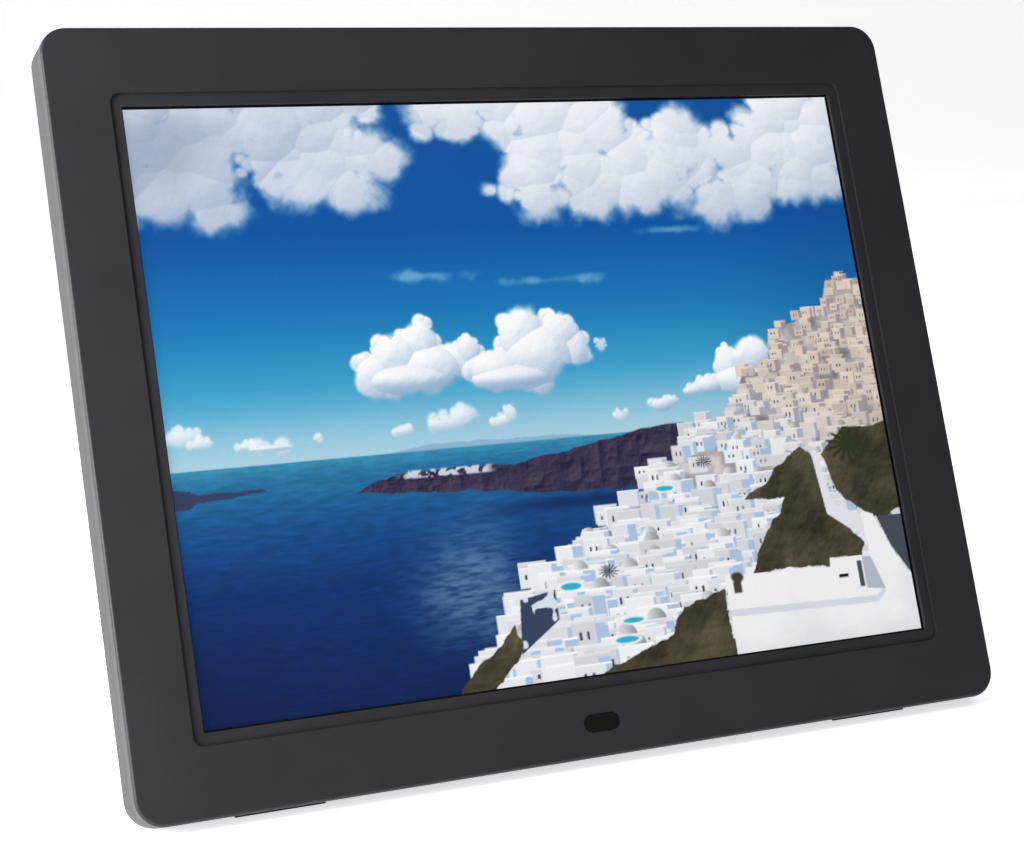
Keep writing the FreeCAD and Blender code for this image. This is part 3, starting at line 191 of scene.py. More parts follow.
class Graph:
    """A material's nodes, added and joined in short calls."""

    def __init__(self, name: str) -> None:
        """Start a material with a Principled shader."""
        self.material = bpy.data.materials.new(name)
        self.material.use_nodes = True
        self.tree = self.material.node_tree
        self.shader = self.tree.nodes["Principled BSDF"]
        self.place = self.tree.nodes.new("ShaderNodeTexCoord").outputs["Object"]

    def add(self, kind: str, **values: object) -> bpy.types.Node:
        """Add a node, and set its properties and its inputs by name.

        Args:
            kind: the node's type.
            **values: its properties and inputs.

        Returns:
            The new node.
        """
        node = self.tree.nodes.new(kind)
        for name, value in values.items():
            if hasattr(node, name):
                setattr(node, name, value)
            else:
                node.inputs[name.replace("_", " ").title()].default_value = value
        return node

    def join(self, start: bpy.types.NodeSocket, end: bpy.types.NodeSocket) -> None:
        """Join an output to an input."""
        self.tree.links.new(start, end)

    def noise(self, scale: float, detail: float = 3.0, stretch: Point | None = None
              ) -> bpy.types.NodeSocket:
        """Add a fractal noise over the piece.

        Args:
            scale: repeats in a metre.
            detail: how many finer layers it has.
            stretch: how much finer it is along x, and along z.

        Returns:
            The noise's value from 0 to 1.
        """
        node = self.add("ShaderNodeTexNoise", Scale=scale, Detail=detail)
        source = self.place
        if stretch:
            mapping = self.add("ShaderNodeMapping")
            mapping.inputs["Scale"].default_value = (stretch[0], 1.0, stretch[1])
            self.join(source, mapping.inputs["Vector"])
            source = mapping.outputs["Vector"]
        self.join(source, node.inputs["Vector"])
        return node.outputs["Fac"]

    def ramp(self, value: bpy.types.NodeSocket, low: Colour, high: Colour, start: float = 0.3,
             end: float = 0.7) -> bpy.types.NodeSocket:
        """Turn a value into a colour between two.

        Args:
            value: the value to read.
            low: the colour up to start.
            high: the colour from end.
            start: the value where the change begins.
            end: the value where it is complete.

        Returns:
            The colour.
        """
        node = self.add("ShaderNodeValToRGB")
        for element, place, colour in zip(node.color_ramp.elements, (start, end), (low, high)):
            element.position = place
            element.color = (*colour, 1.0)
        self.join(value, node.inputs["Fac"])
        return node.outputs["Color"]

    def mix(self, way: str, share: float, first: bpy.types.NodeSocket,
            second: bpy.types.NodeSocket | Colour) -> bpy.types.NodeSocket:
        """Lay one colour over another.

        Args:
            way: how they combine, such as MULTIPLY.
            share: how much of the second shows.
            first: the colour below.
            second: the colour above.

        Returns:
            The combined colour.
        """
        node = self.add("ShaderNodeMix", data_type="RGBA", blend_type=way)
        node.inputs[MixSocket.SHARE.value].default_value = share
        self.join(first, node.inputs[MixSocket.FIRST.value])
        if isinstance(second, tuple):
            node.inputs[MixSocket.SECOND.value].default_value = (*second, 1.0)
        else:
            self.join(second, node.inputs[MixSocket.SECOND.value])
        return node.outputs[MixSocket.RESULT.value]

    def span(self, value: bpy.types.NodeSocket, low: float, high: float) -> bpy.types.NodeSocket:
        """Spread a value from 0 to 1 over a range.

        Args:
            value: the value to spread.
            low: what 0 becomes.
            high: what 1 becomes.

        Returns:
            The spread value.
        """
        node = self.add("ShaderNodeMapRange")
        node.inputs["To Min"].default_value = low
        node.inputs["To Max"].default_value = high
        self.join(value, node.inputs["Value"])
        return node.outputs["Result"]

    def bump(self, value: bpy.types.NodeSocket, depth: float, strength: float = 1.0,
             under: bpy.types.NodeSocket | None = None) -> bpy.types.NodeSocket:
        """Turn a value into relief.

        Args:
            value: the height, from 0 to 1.
            depth: the relief's depth in metres.
            strength: how much of it shows.
            under: a relief that this one lies on.

        Returns:
            The surface's direction.
        """
        node = self.add("ShaderNodeBump", Strength=strength, Distance=depth)
        self.join(value, node.inputs["Height"])
        if under:
            self.join(under, node.inputs["Normal"])
        return node.outputs["Normal"]


@dataclass(frozen=True)
class Moulded:
    """Moulded plastic, rubber or lacquer with a fine grain and faint unevenness."""

    name: str
    colour: Colour
    roughness: float
    grain: float = 1800.0
    grain_depth: float = 0.00002
    unevenness: float = 0.12
    coat: float = 0.0
    shine: float = 0.36
    speckle: float = 0.25
    gloss_drift: float = 0.05

    def build(self) -> bpy.types.Material:
        """Make the material: colour and gloss drift slowly, and relief follows the grain.

        Returns:
            The material.
        """
        graph = Graph(self.name)
        shade = linear(self.colour)
        drift = graph.noise(22.0, 4.0)
        fine = graph.noise(self.grain, 2.0)
        colour = graph.ramp(drift, tuple(shade * (1.0 - self.unevenness)),
                            tuple(shade * (1.0 + self.unevenness)))
        speckle = graph.ramp(fine, (0.32, 0.32, 0.32), (0.68, 0.68, 0.68))
        graph.join(graph.mix("OVERLAY", self.speckle, colour, speckle),
                   graph.shader.inputs["Base Color"])
        gloss = graph.span(graph.noise(90.0, 3.0), self.roughness - self.gloss_drift,
                           self.roughness + self.gloss_drift)
        graph.join(gloss, graph.shader.inputs["Roughness"])
        wave = graph.bump(drift, 0.00004, 0.2)
        graph.join(graph.bump(fine, self.grain_depth, 0.6, wave), graph.shader.inputs["Normal"])
        graph.shader.inputs["Specular IOR Level"].default_value = self.shine
        graph.shader.inputs["Coat Weight"].default_value = self.coat
        graph.shader.inputs["Coat Roughness"].default_value = 0.08
        return graph.material


@dataclass(frozen=True)
class Metal:
    """Sheet or turned metal with drawn lines along x and slight staining."""

    name: str
    colour: Colour
    roughness: float
    brushed: float = 14.0

    def build(self) -> bpy.types.Material:
        """Make the material: fine lines in gloss and relief, and a slow stain in colour.

        Returns:
            The material.
        """
        graph = Graph(self.name)
        shade = linear(self.colour)
        stain = graph.noise(60.0, 4.0)
        lines = graph.noise(260.0, 3.0, (1.0, self.brushed))
        graph.join(graph.ramp(stain, tuple(shade * 0.82), tuple(shade)),
                   graph.shader.inputs["Base Color"])
        graph.join(graph.span(lines, self.roughness - 0.08, self.roughness + 0.1),
                   graph.shader.inputs["Roughness"])
        graph.join(graph.bump(lines, 0.00002, 0.35), graph.shader.inputs["Normal"])
        graph.shader.inputs["Metallic"].default_value = 1.0
        return graph.material


@dataclass(frozen=True)
class CircuitBoard:
    """Solder mask with tracks that show as paler, slightly raised lines."""

    name: str
    mask: Colour = (18, 88, 48)
    track: Colour = (40, 128, 74)
    pitch: float = 420.0

    def build(self) -> bpy.types.Material:
        """Make the material: cell borders of a blocky pattern stand for the tracks.

        Returns:
            The material.
        """
        graph = Graph(self.name)
        cells = graph.add("ShaderNodeTexVoronoi", feature="F1", distance="CHEBYCHEV",
                          Scale=self.pitch)
        graph.join(graph.place, cells.inputs["Vector"])
        graph.join(graph.ramp(cells.outputs["Distance"], tuple(linear(self.mask)),
                              tuple(linear(self.track)), 0.46, 0.5),
                   graph.shader.inputs["Base Color"])
        graph.join(graph.bump(cells.outputs["Distance"], 0.00003, 0.4),
                   graph.shader.inputs["Normal"])
        graph.join(graph.span(graph.noise(150.0), 0.28, 0.4), graph.shader.inputs["Roughness"])
        return graph.material


@dataclass(frozen=True)
class ClearSheet:
    """Clear or milky sheet with faint haze."""

    name: str
    colour: Colour
    roughness: float
    passing: float

    def build(self) -> bpy.types.Material:
        """Make the material: mostly light-passing, with a haze that drifts in gloss.

        Returns:
            The material.
        """
        graph = Graph(self.name)
        shade = linear(self.colour)
        graph.join(graph.ramp(graph.noise(40.0), tuple(shade * 0.94), tuple(shade)),
                   graph.shader.inputs["Base Color"])
        graph.join(graph.span(graph.noise(300.0), self.roughness, self.roughness + 0.06),
                   graph.shader.inputs["Roughness"])
        graph.shader.inputs["Transmission Weight"].default_value = self.passing
        graph.shader.inputs["IOR"].default_value = 1.49
        return graph.material


@dataclass(frozen=True)
class LitPicture:
    """A lit display: the painted colours glow through a fine matte front."""

    name: str
    glow: float = 0.86
    body: float = 0.1

    def build(self) -> bpy.types.Material:
        """Make the material: the colour attribute lights the surface, over a fine matte grain.

        Returns:
            The material.
        """
        graph = Graph(self.name)
        paint = graph.add("ShaderNodeAttribute", attribute_name="paint")
        grid = graph.noise(2600.0, 1.0)
        veil = graph.mix("MULTIPLY", 1.0, paint.outputs["Color"],
                         graph.ramp(grid, (0.93, 0.93, 0.93), (1.0, 1.0, 1.0)))
        graph.join(veil, graph.shader.inputs["Emission Color"])
        graph.join(graph.mix("MULTIPLY", 1.0, veil, (self.body, self.body, self.body)),
                   graph.shader.inputs["Base Color"])
        graph.shader.inputs["Emission Strength"].default_value = self.glow
        graph.join(graph.span(grid, 0.34, 0.44), graph.shader.inputs["Roughness"])
        graph.shader.inputs["Specular IOR Level"].default_value = 0.3
        return graph.material


class Finish(Enum):
    """Every finish on the object, by the record's slot that it dresses."""

    case_dark = Moulded("charcoal_plastic", (35, 34, 39), 0.46)
    case_rear = Moulded("charcoal_plastic_rear", (35, 34, 39), 0.5, 1400.0, 0.00003)
    case_leg = Moulded("charcoal_plastic_leg", (34, 33, 38), 0.5, 1400.0, 0.00003)
    window_black = Moulded("window_lacquer", (9, 9, 10), 0.1, 600.0, 0.000002, 0.05, 1.0)
    display_glass = Moulded("dark_glass", (7, 7, 8), 0.28, 900.0, 0.000002, 0.05, 0.4)
    steel = Metal("zinc_sheet", (178, 180, 184), 0.34)
    screw_steel = Metal("plated_screw", (196, 196, 196), 0.28, 3.0)
    screw_black = Moulded("blackened_screw", (26, 26, 27), 0.32, 900.0, 0.00001, 0.2, 0.2)
    shield = Metal("tinned_sheet", (206, 206, 204), 0.26)
    brass = Metal("turned_brass", (206, 172, 96), 0.25, 3.0)
    acrylic = ClearSheet("clear_acrylic", (238, 244, 246), 0.04, 0.9)
    film_white = Moulded("white_film", (232, 232, 230), 0.55, 900.0, 0.000005, 0.03)
    board_white = Moulded("white_board", (226, 226, 220), 0.4, 900.0, 0.00001, 0.05)
    circuit_board = CircuitBoard("solder_mask")
    insulation = ClearSheet("milky_film", (214, 210, 186), 0.3, 0.5)
    chip_black = Moulded("moulded_chip", (24, 24, 25), 0.42, 2600.0)
    capacitor = Moulded("capacitor_sleeve", (40, 44, 66), 0.25, 500.0, 0.00001, 0.1, 0.4)
    cell_metal = Metal("cell_steel", (202, 202, 200), 0.2, 2.0)
    plug_cream = Moulded("cream_plug", (214, 206, 184), 0.45)
    socket_metal = Metal("plated_shell", (200, 200, 198), 0.24)
    switch_metal = Moulded("switch_body", (38, 38, 40), 0.4)
    speaker = Moulded("speaker_lacquer", (30, 30, 31), 0.5, 1200.0)
    foam = Moulded("closed_foam", (34, 34, 35), 0.85, 1500.0, 0.0001, 0.25)
    wire = Moulded("wire_sleeve", (34, 34, 36), 0.45)
    ribbon = Moulded("flat_ribbon", (204, 202, 196), 0.4, 1200.0, 0.00001)
    rubber = Moulded("dull_rubber", (24, 24, 25), 0.8, 1100.0, 0.00006, 0.2)
    key_black = Moulded("key_plastic", (28, 28, 30), 0.34, 1600.0, 0.00001, 0.08, 0.15)


# ---------------------------------------------------------------- the picture on the display

@dataclass
class SeasidePicture:
    """A generic seaside view, painted by formulas: sky, clouds, sea, headland and a white village.

    Places are shares of the picture: x from its left edge, y down from its top edge.
    """

    columns: int = 729
    rows: int = 547
    fineness: int = 2
    seed: int = 11
    houses: int = 620
    window_chance: float = 0.55
    door_chance: float = 0.2
    dome_chance: float = 0.07
    house_near: float = 0.05
    house_far: float = 0.016
    hill_top: float = 0.345
    band_count: int = 900
    cloud_margin: float = 1.4
    cloud_grain: float = 0.006
    cloud_white: Colour = (252, 253, 255)
    horizon: float = 0.596
    sun: tuple[float, float, float] = (-0.5, -0.72, 0.48)
    sky: tuple = ((0.0, (14, 82, 156)), (0.22, (9, 84, 162)), (0.37, (24, 122, 184)),
                  (0.47, (58, 158, 202)), (0.57, (146, 198, 220)), (0.6, (170, 208, 224)))
    sea: tuple = ((0.59, (62, 146, 180)), (0.62, (38, 116, 160)), (0.7, (20, 78, 138)),
                  (0.8, (10, 50, 112)), (1.0, (6, 32, 84)))
    hillside: tuple[Point, ...] = (
        (1.01, 0.345), (0.948, 0.352), (0.936, 0.4), (0.84, 0.44), (0.836, 0.5), (0.79, 0.512),
        (0.76, 0.575), (0.695, 0.608), (0.675, 0.655), (0.627, 0.668), (0.618, 0.716),
        (0.562, 0.733), (0.538, 0.782), (0.475, 0.822), (0.42, 0.85), (0.405, 0.95),
        (0.35, 1.01), (1.01, 1.01))
    headland: tuple[Point, ...] = (
        (0.226, 0.655), (0.28, 0.63), (0.41, 0.628), (0.44, 0.632), (0.55, 0.612), (0.61, 0.597),
        (0.675, 0.586), (0.74, 0.596), (0.76, 0.69), (0.625, 0.692), (0.5, 0.688),
        (0.387, 0.672), (0.25, 0.66))
    band_edge: tuple[Point, ...] = (
        (0.0, 0.19), (0.09, 0.19), (0.16, 0.155), (0.24, 0.17), (0.31, 0.15), (0.35, 0.1),
        (0.39, 0.13), (0.45, 0.175), (0.55, 0.19), (0.7, 0.185), (0.87, 0.195), (0.95, 0.18),
        (1.0, 0.165))
    gaps: tuple = ((0.35, 0.03, 0.02, 0.05), (0.45, 0.1, 0.05, 0.035), (0.39, 0.14, 0.05, 0.03),
                   (0.7, 0.01, 0.03, 0.02), (0.8, 0.0, 0.06, 0.02), (0.15, 0.15, 0.02, 0.02))
    left_heap: tuple = ((0.275, 0.468, 0.03, 0.04), (0.305, 0.44, 0.034, 0.045),
                        (0.338, 0.415, 0.026, 0.042), (0.35, 0.46, 0.045, 0.04),
                        (0.32, 0.475, 0.06, 0.028), (0.385, 0.45, 0.026, 0.035))
    right_heap: tuple = ((0.44, 0.47, 0.04, 0.036), (0.48, 0.415, 0.036, 0.055),
                         (0.5, 0.45, 0.05, 0.055), (0.535, 0.41, 0.03, 0.04),
                         (0.548, 0.44, 0.026, 0.04), (0.46, 0.485, 0.06, 0.024),
                         (0.405, 0.43, 0.016, 0.026))
    hill_heap: tuple = ((0.775, 0.49, 0.024, 0.036), (0.81, 0.475, 0.034, 0.036),
                        (0.79, 0.52, 0.04, 0.03), (0.74, 0.525, 0.022, 0.016),
                        (0.71, 0.533, 0.016, 0.01), (0.665, 0.553, 0.018, 0.013),
                        (0.68, 0.548, 0.012, 0.01))
    low_heaps: tuple = ((0.3, 0.56, 0.014, 0.01), (0.36, 0.555, 0.03, 0.016),
                        (0.385, 0.542, 0.02, 0.02), (0.445, 0.548, 0.014, 0.016),
                        (0.43, 0.56, 0.016, 0.01), (0.6, 0.566, 0.013, 0.013),
                        (0.02, 0.545, 0.026, 0.02), (0.045, 0.555, 0.02, 0.012),
                        (0.1, 0.565, 0.016, 0.009), (0.13, 0.57, 0.03, 0.006),
                        (0.19, 0.56, 0.007, 0.012), (0.56, 0.46, 0.02, 0.012),
                        (0.59, 0.44, 0.01, 0.018))
    wisps: tuple = ((0.36, 0.3, 0.085, 0.014), (0.53, 0.32, 0.07, 0.012), (0.72, 0.24, 0.05, 0.01))
    islet: tuple[Point, ...] = (
        (-0.01, 0.624), (0.018, 0.626), (0.03, 0.634), (0.11, 0.635), (0.115, 0.639),
        (0.028, 0.648), (0.02, 0.656), (-0.01, 0.656))
    terrace: tuple[Point, ...] = ((0.42, 0.86), (0.47, 0.85), (0.47, 0.9), (0.412, 0.95))
    pools: tuple = ((0.4925, 0.848, 0.016, 0.007), (0.647, 0.7, 0.014, 0.005),
                    (0.572, 0.917, 0.016, 0.005), (0.559, 0.948, 0.018, 0.006))
    palms: tuple = ((0.935, 0.655, 0.04), (0.71, 0.66, 0.014), (0.548, 0.83, 0.016))
    path: tuple[Point, ...] = ((0.875, 0.66), (0.884, 0.66), (0.896, 0.76), (0.95, 0.79),
                               (0.94, 0.83), (0.884, 0.775))
    near_front: tuple[Point, ...] = (
        (0.713, 1.01), (0.713, 0.862), (0.874, 0.87), (0.876, 0.854), (0.925, 0.856),
        (0.94, 0.862), (0.936, 0.775), (0.955, 0.785), (0.975, 0.85), (1.01, 0.93), (1.01, 1.01))
    near_steps: tuple[Point, ...] = ((0.96, 0.79), (1.01, 0.79), (1.01, 0.92), (0.975, 0.845))
    near_ledge: tuple[Point, ...] = ((0.713, 0.922), (0.94, 0.93), (0.955, 0.915), (0.955, 0.925),
                                     (0.94, 0.942), (0.713, 0.934))
    near_shade: tuple[Point, ...] = ((0.926, 0.858), (0.94, 0.86), (0.955, 0.92), (0.926, 0.915))
    near_window: tuple = (0.886, 0.901, 0.885, 0.892)
    near_door: tuple = (0.917, 0.924, 0.865, 0.912)
    near_pot: tuple = (0.724, 0.736, 0.875, 0.895)
    near_shrub: tuple = (0.73, 0.868, 0.011, 0.012)
    green: tuple = (
        ((0.762, 0.735), (0.86, 0.655), (0.875, 0.665), (0.885, 0.76), (0.935, 0.83),
         (0.93, 0.865), (0.748, 0.865), (0.77, 0.82), (0.825, 0.745)),
        ((0.54, 0.985), (0.62, 0.955), (0.65, 0.905), (0.712, 0.885), (0.715, 1.02), (0.5, 1.02)),
        ((0.89, 0.67), (0.93, 0.625), (1.01, 0.62), (1.01, 0.785), (0.955, 0.79), (0.91, 0.74)),
        ((0.31, 1.01), (0.35, 0.958), (0.412, 0.9), (0.41, 0.95), (0.37, 1.01)))

    def __post_init__(self) -> None:
        """Lay out the raster's places and the table that the noise reads."""
        self.random = np.random.default_rng(self.seed)
        self.table = self.random.random((64, 64)).astype(np.float32)
        self.known = {}
        self.high, self.wide = self.rows * self.fineness, self.columns * self.fineness
        across = ((np.arange(self.wide) + 0.5) / self.wide).astype(np.float32)
        down = ((np.arange(self.high) + 0.5) / self.high).astype(np.float32)
        self.x, self.y = np.meshgrid(across, down)
        self.image = np.zeros((self.high, self.wide, 3), dtype=np.float32)

    def noise(self, scale: float, layers: int = 4, stretch: float = 1.0, shift: float = 0.0,
              billow: bool = False) -> np.ndarray:
        """Add up layers of smooth value noise, each half as strong and twice as fine.

        Args:
            scale: repeats over the picture's width.
            layers: how many layers.
            stretch: how much finer it is downwards.
            shift: moves the pattern.
            billow: fold each layer at its middle, which gives round heaps with creases.

        Returns:
            Values from 0 to 1 over the raster.
        """
        key = (scale, layers, stretch, shift, billow)
        if key not in self.known:
            total, weight = np.zeros_like(self.x), 0.0
            for layer in range(layers):
                value = self.layer(scale * 2 ** layer, stretch, shift + 3.7 * layer)
                total += 0.5 ** layer * (1.0 - abs(2.0 * value - 1.0) if billow else value)
                weight += 0.5 ** layer
            self.known[key] = total / weight
        return self.known[key]

    def layer(self, size: float, stretch: float, shift: float) -> np.ndarray:
        """Blend the table's values between neighbours, with an eased share each way.

        Args:
            size: repeats over the picture's width.
            stretch: how much finer it is downwards.
            shift: moves the pattern.

        Returns:
            Values from 0 to 1 over the raster.
        """
        count = len(self.table)
        shares = []
        for line, pace in ((self.x[0], size), (self.y[:, 0], size * stretch * 0.75)):
            place = line * pace + shift
            cell = np.floor(place).astype(int)
            part = place - cell
            shares.append((cell % count, (cell + 1) % count, part * part * (3 - 2 * part)))
        (near, far, u), (above, below, v) = shares
        top = self.table[above][:, near] * (1 - u) + self.table[above][:, far] * u
        foot = self.table[below][:, near] * (1 - u) + self.table[below][:, far] * u
        return top * (1 - v[:, None]) + foot * v[:, None]

    def lay(self, colour: np.ndarray | Colour, cover: np.ndarray, window: tuple = (slice(None),)
            ) -> None:
        """Lay a colour over the picture, or over a window of it.

        Args:
            colour: one colour, or one for each place.
            cover: how far the colour hides what is below, from 0 to 1.
            window: the slices of the raster that the cover is for.
        """
        part = self.image[window]
        part += (np.asarray(colour, dtype=np.float32) - part) * cover[..., None]

    def blend(self, low: Colour, high: Colour, share: np.ndarray) -> np.ndarray:
        """Mix two colours.

        Args:
            low: the colour at a share of 0.
            high: the colour at a share of 1.
            share: the share at each place.

        Returns:
            The colour at each place.
        """
        share = np.clip(share, 0.0, 1.0)[..., None]
        return np.asarray(low, np.float32) * (1 - share) + np.asarray(high, np.float32) * share

    def grade(self, stops: tuple) -> np.ndarray:
        """Colour each place by its height, in straight lines between the stops.

        Args:
            stops: pairs of a height and its colour.

        Returns:
            The colour at each place.
        """
        places = [place for place, _ in stops]
        line = np.stack([np.interp(self.y[:, 0], places, [colour[part] for _, colour in stops])
                         for part in range(3)], axis=-1)
        return np.repeat(line[:, None, :], self.wide, axis=1).astype(np.float32)

    def inside(self, outline: tuple[Point, ...], roughness: float = 0.0, scale: float = 30.0
               ) -> np.ndarray:
        """Test each place against an outline, by counting the edges to the right of the place.

        Args:
            outline: the corners.
            roughness: how far noise pushes the edges about.
            scale: the noise's repeats over the picture's width.

        Returns:
            1 inside and 0 outside.
        """
        x, y = self.x, self.y
        if roughness:
            x = x + roughness * (self.noise(scale, 4) - 0.5)
            y = y + roughness * (self.noise(scale, 4, shift=9.0) - 0.5)
        odd = np.zeros(x.shape, dtype=bool)
        for (x0, y0), (x1, y1) in zip(outline, outline[1:] + outline[:1]):
            if y0 != y1:
                crossing = (y0 > y) != (y1 > y)
                odd ^= crossing & (x < (x1 - x0) * (y - y0) / (y1 - y0) + x0)
        return odd.astype(np.float32)

    def window(self, left: float, right: float, top: float, foot: float) -> tuple[slice, slice]:
        """Turn a box in shares into slices of the raster."""
        return (slice(max(int(top * self.high), 0), max(int(foot * self.high), 0)),
                slice(max(int(left * self.wide), 0), max(int(right * self.wide), 0)))

    def blob(self, place: tuple, rough: float, scale: float, edge: float = 0.25) -> np.ndarray:
        """Cover an ellipse whose rim is pushed about by noise.

        Args:
            place: its middle and half sizes.
            rough: how far the noise moves the rim.
            scale: the noise's repeats over the picture's width.
            edge: the softness of the rim.

        Returns:
            The cover, from 0 to 1.
        """
        x, y, wide, high = place
        away = np.hypot((self.x - x) / wide, (self.y - y) / high)
        return soft_step(1.0 - away + rough * (self.noise(scale, 5) - 0.5), 0.0, edge)

    def relief(self, height: np.ndarray) -> np.ndarray:
        """Light a height map: the cosine between its slope's direction and the sun's.

        Args:
            height: heights in shares of the picture's width.

        Returns:
            The light at each place.
        """
        down, across = np.gradient(height)
        across, down = across * self.wide, down * self.wide
        facing = -across * self.sun[0] - down * self.sun[1] + self.sun[2]
        return facing / np.sqrt(across * across + down * down + 1.0)

    def crowd(self, lobes: tuple, count: int, droop: float = 0.15) -> np.ndarray:
        """Add smaller lobes round the rims of the given ones, mostly on their upper sides.

        Args:
            lobes: each lobe's middle and half sizes.
            count: how many to add.
            droop: how far round below each lobe's middle they reach, as a share of half a turn.

        Returns:
            One row for each lobe: middle x and y, half width and half height.
        """
        large = np.array(lobes)
        host = large[self.random.integers(0, len(large), count)]
        turn = self.random.uniform(-1.0 - droop, droop, count) * math.pi
        reach = self.random.uniform(0.3, 0.95, count)
        share = self.random.uniform(0.22, 0.5, count)
        small = np.stack([host[:, 0] + host[:, 2] * reach * np.cos(turn),
                          host[:, 1] + host[:, 3] * reach * np.sin(turn),
                          host[:, 2] * share, host[:, 2] * share * 1.33], axis=-1)
        return np.vstack([large, small])

    def cloud(self, lobes: np.ndarray, rough: float = 0.55, edge: float = 0.3,
              cover: float = 1.0, shade: Colour = (150, 178, 208), contrast: float = 0.62,
              mood: float = 0.0) -> None:
        """Pile a cloud from round lobes.

        The height is the highest lobe's half ball plus a little noise; it is lit by the sun.

        Args:
            lobes: one row for each lobe: middle x and y, half width and half height.
            rough: how far the noise moves the rim.
            edge: the softness of the rim.
            cover: how dense the cloud is.
            shade: the colour of its undersides.
            contrast: how much the sun models it.
            mood: how much slow patches of light and shade drift over it.
        """
        left, top = (lobes[:, :2] - self.cloud_margin * lobes[:, 2:]).min(axis=0)
        right, foot = (lobes[:, :2] + self.cloud_margin * lobes[:, 2:]).max(axis=0)
        window = self.window(left, right, top, foot)
        x, y = self.x[window], self.y[window]
        nearest = np.full(x.shape, -1.0, dtype=np.float32)
        height = np.zeros_like(nearest)
        for lobe_x, lobe_y, wide, high in lobes.astype(np.float32):
            away = np.hypot((x - lobe_x) / wide, (y - lobe_y) / high)
            nearest = np.maximum(nearest, 1.0 - away)
            height = np.maximum(height, wide * np.sqrt(np.clip(1.0 - away * away, 0.0, None)))
        height = height + self.cloud_grain * self.noise(40.0, 4, shift=1.3)[window]
        field = nearest + rough * (self.noise(30.0, 5)[window] - 0.5)
        low = (lobes[:, 1] + lobes[:, 3]).max()
        lit = 0.46 + contrast * (self.relief(height) - 0.3) + 0.3 * (low - y) / (low - top)
        lit = lit + mood * (self.noise(4.0, 5, shift=6.0)[window] - 0.5)
        self.lay(self.blend(shade, self.cloud_white, lit), cover * soft_step(field, 0.0, edge),
                 window)

    def band_lobes(self) -> np.ndarray:
        """Scatter lobes over the band along the top, clear of its edge and of its blue gaps.

        Returns:
            One row for each lobe: middle x and y, half width and half height.
        """
        x = self.random.uniform(-0.03, 1.03, self.band_count)
        y = self.random.uniform(-0.05, 0.2, self.band_count)
        size = self.random.uniform(0.014, 0.062, self.band_count)
        room = np.interp(x, *zip(*self.band_edge)) - y
        keep = room > 0.2 * size
        for gap_x, gap_y, wide, high in self.gaps:
            clear = np.hypot((x - gap_x) / (wide + 0.6 * size), (y - gap_y) / (high + 0.6 * size))
            keep &= clear > 1.0
        return np.stack([x, y, size, size * 1.1], axis=-1)[keep]

    def paint_sky(self) -> None:
        """Grade the sky, and lay the cloud band along the top, the wisps and the heaps."""
        self.image[:] = self.grade(self.sky)
        self.lay((8, 70, 140), 0.4 * soft_step(self.x, 0.7, 1.05) * (self.y < self.horizon))
        self.cloud(self.band_lobes(), 1.0, 0.6, 0.98, (156, 174, 202), 0.3, 0.8)
        self.lay((136, 152, 180), 0.6 * self.blob((0.03, 0.06, 0.13, 0.1), 0.8, 9.0, 0.9))
        for place in self.wisps:
            self.lay((168, 208, 228), 0.55 * self.blob(place, 2.2, 24.0, 0.9))
        haze = soft_step(self.y, self.horizon - 0.1, self.horizon)
        self.lay((178, 212, 224), 0.35 * haze)
        for lobe in self.low_heaps:
            self.cloud(self.crowd((lobe,), 10), 0.7, 0.5, 0.8, (170, 196, 216))
        self.cloud(self.crowd(self.hill_heap, 60))
        self.cloud(self.crowd(self.left_heap, 110))
        self.cloud(self.crowd(self.right_heap, 110))
        islands = self.horizon - 0.014 * (0.2 + self.noise(14.0, 3)) * (
            soft_step(self.x, 0.27, 0.34) - soft_step(self.x, 0.48, 0.57))
        self.lay((132, 174, 204), 0.8 * (self.y > islands))

    def paint_sea(self) -> None:
        """Grade the sea below the horizon, with ripples and the clouds' pale reflection."""
        water = soft_step(self.y, self.horizon - 0.001, self.horizon + 0.001)
        ripples = self.noise(60.0, 4, stretch=6.0) - 0.5
        self.lay(self.grade(self.sea) * (1.0 + 0.3 * ripples)[..., None], water)
        glow = self.blob((0.35, 0.83, 0.13, 0.16), 0.9, 7.0, 1.0)
        self.lay((112, 146, 176), 0.75 * glow * water * np.clip(0.75 + 1.6 * ripples, 0, 1))
        self.lay((2, 22, 66), 0.5 * soft_step(self.x, 0.2, -0.05) * soft_step(self.y, 0.7, 1.0))
        self.lay((52, 62, 96), self.inside(self.islet, 0.006, 60.0))

    def paint_headland(self) -> None:
        """Lay the dark headland across the bay, with a far white village along its ridge."""
        folds = self.noise(36.0, 6, shift=0.4, billow=True)
        lit = 1.1 * self.relief(0.006 * folds) - 0.1
        rock = self.blend((26, 26, 58), (96, 82, 98), lit)
        self.lay(rock, self.inside(self.headland, 0.01, 40.0))
        strip = soft_step(0.008 - abs(self.y - 0.634 - 0.01 * (self.x - 0.3)), 0, 0.003)
        strip = strip * soft_step(self.x, 0.275, 0.3) * (1 - soft_step(self.x, 0.4, 0.42))
        self.lay((204, 208, 222), strip * (self.noise(170.0, 2) > 0.44))
        self.lay((10, 26, 74), 0.6 * soft_step(0.02 - abs(self.y - 0.706), 0, 0.02)
                 * soft_step(self.x, 0.36, 0.5) * (1 - soft_step(self.x, 0.62, 0.68)))

    def patch(self, left: float, right: float, top: float, foot: float, colour: Colour) -> None:
        """Paint one upright rectangle, whose sides are shares of the picture."""
        self.image[self.window(left, right, top, foot)] = colour

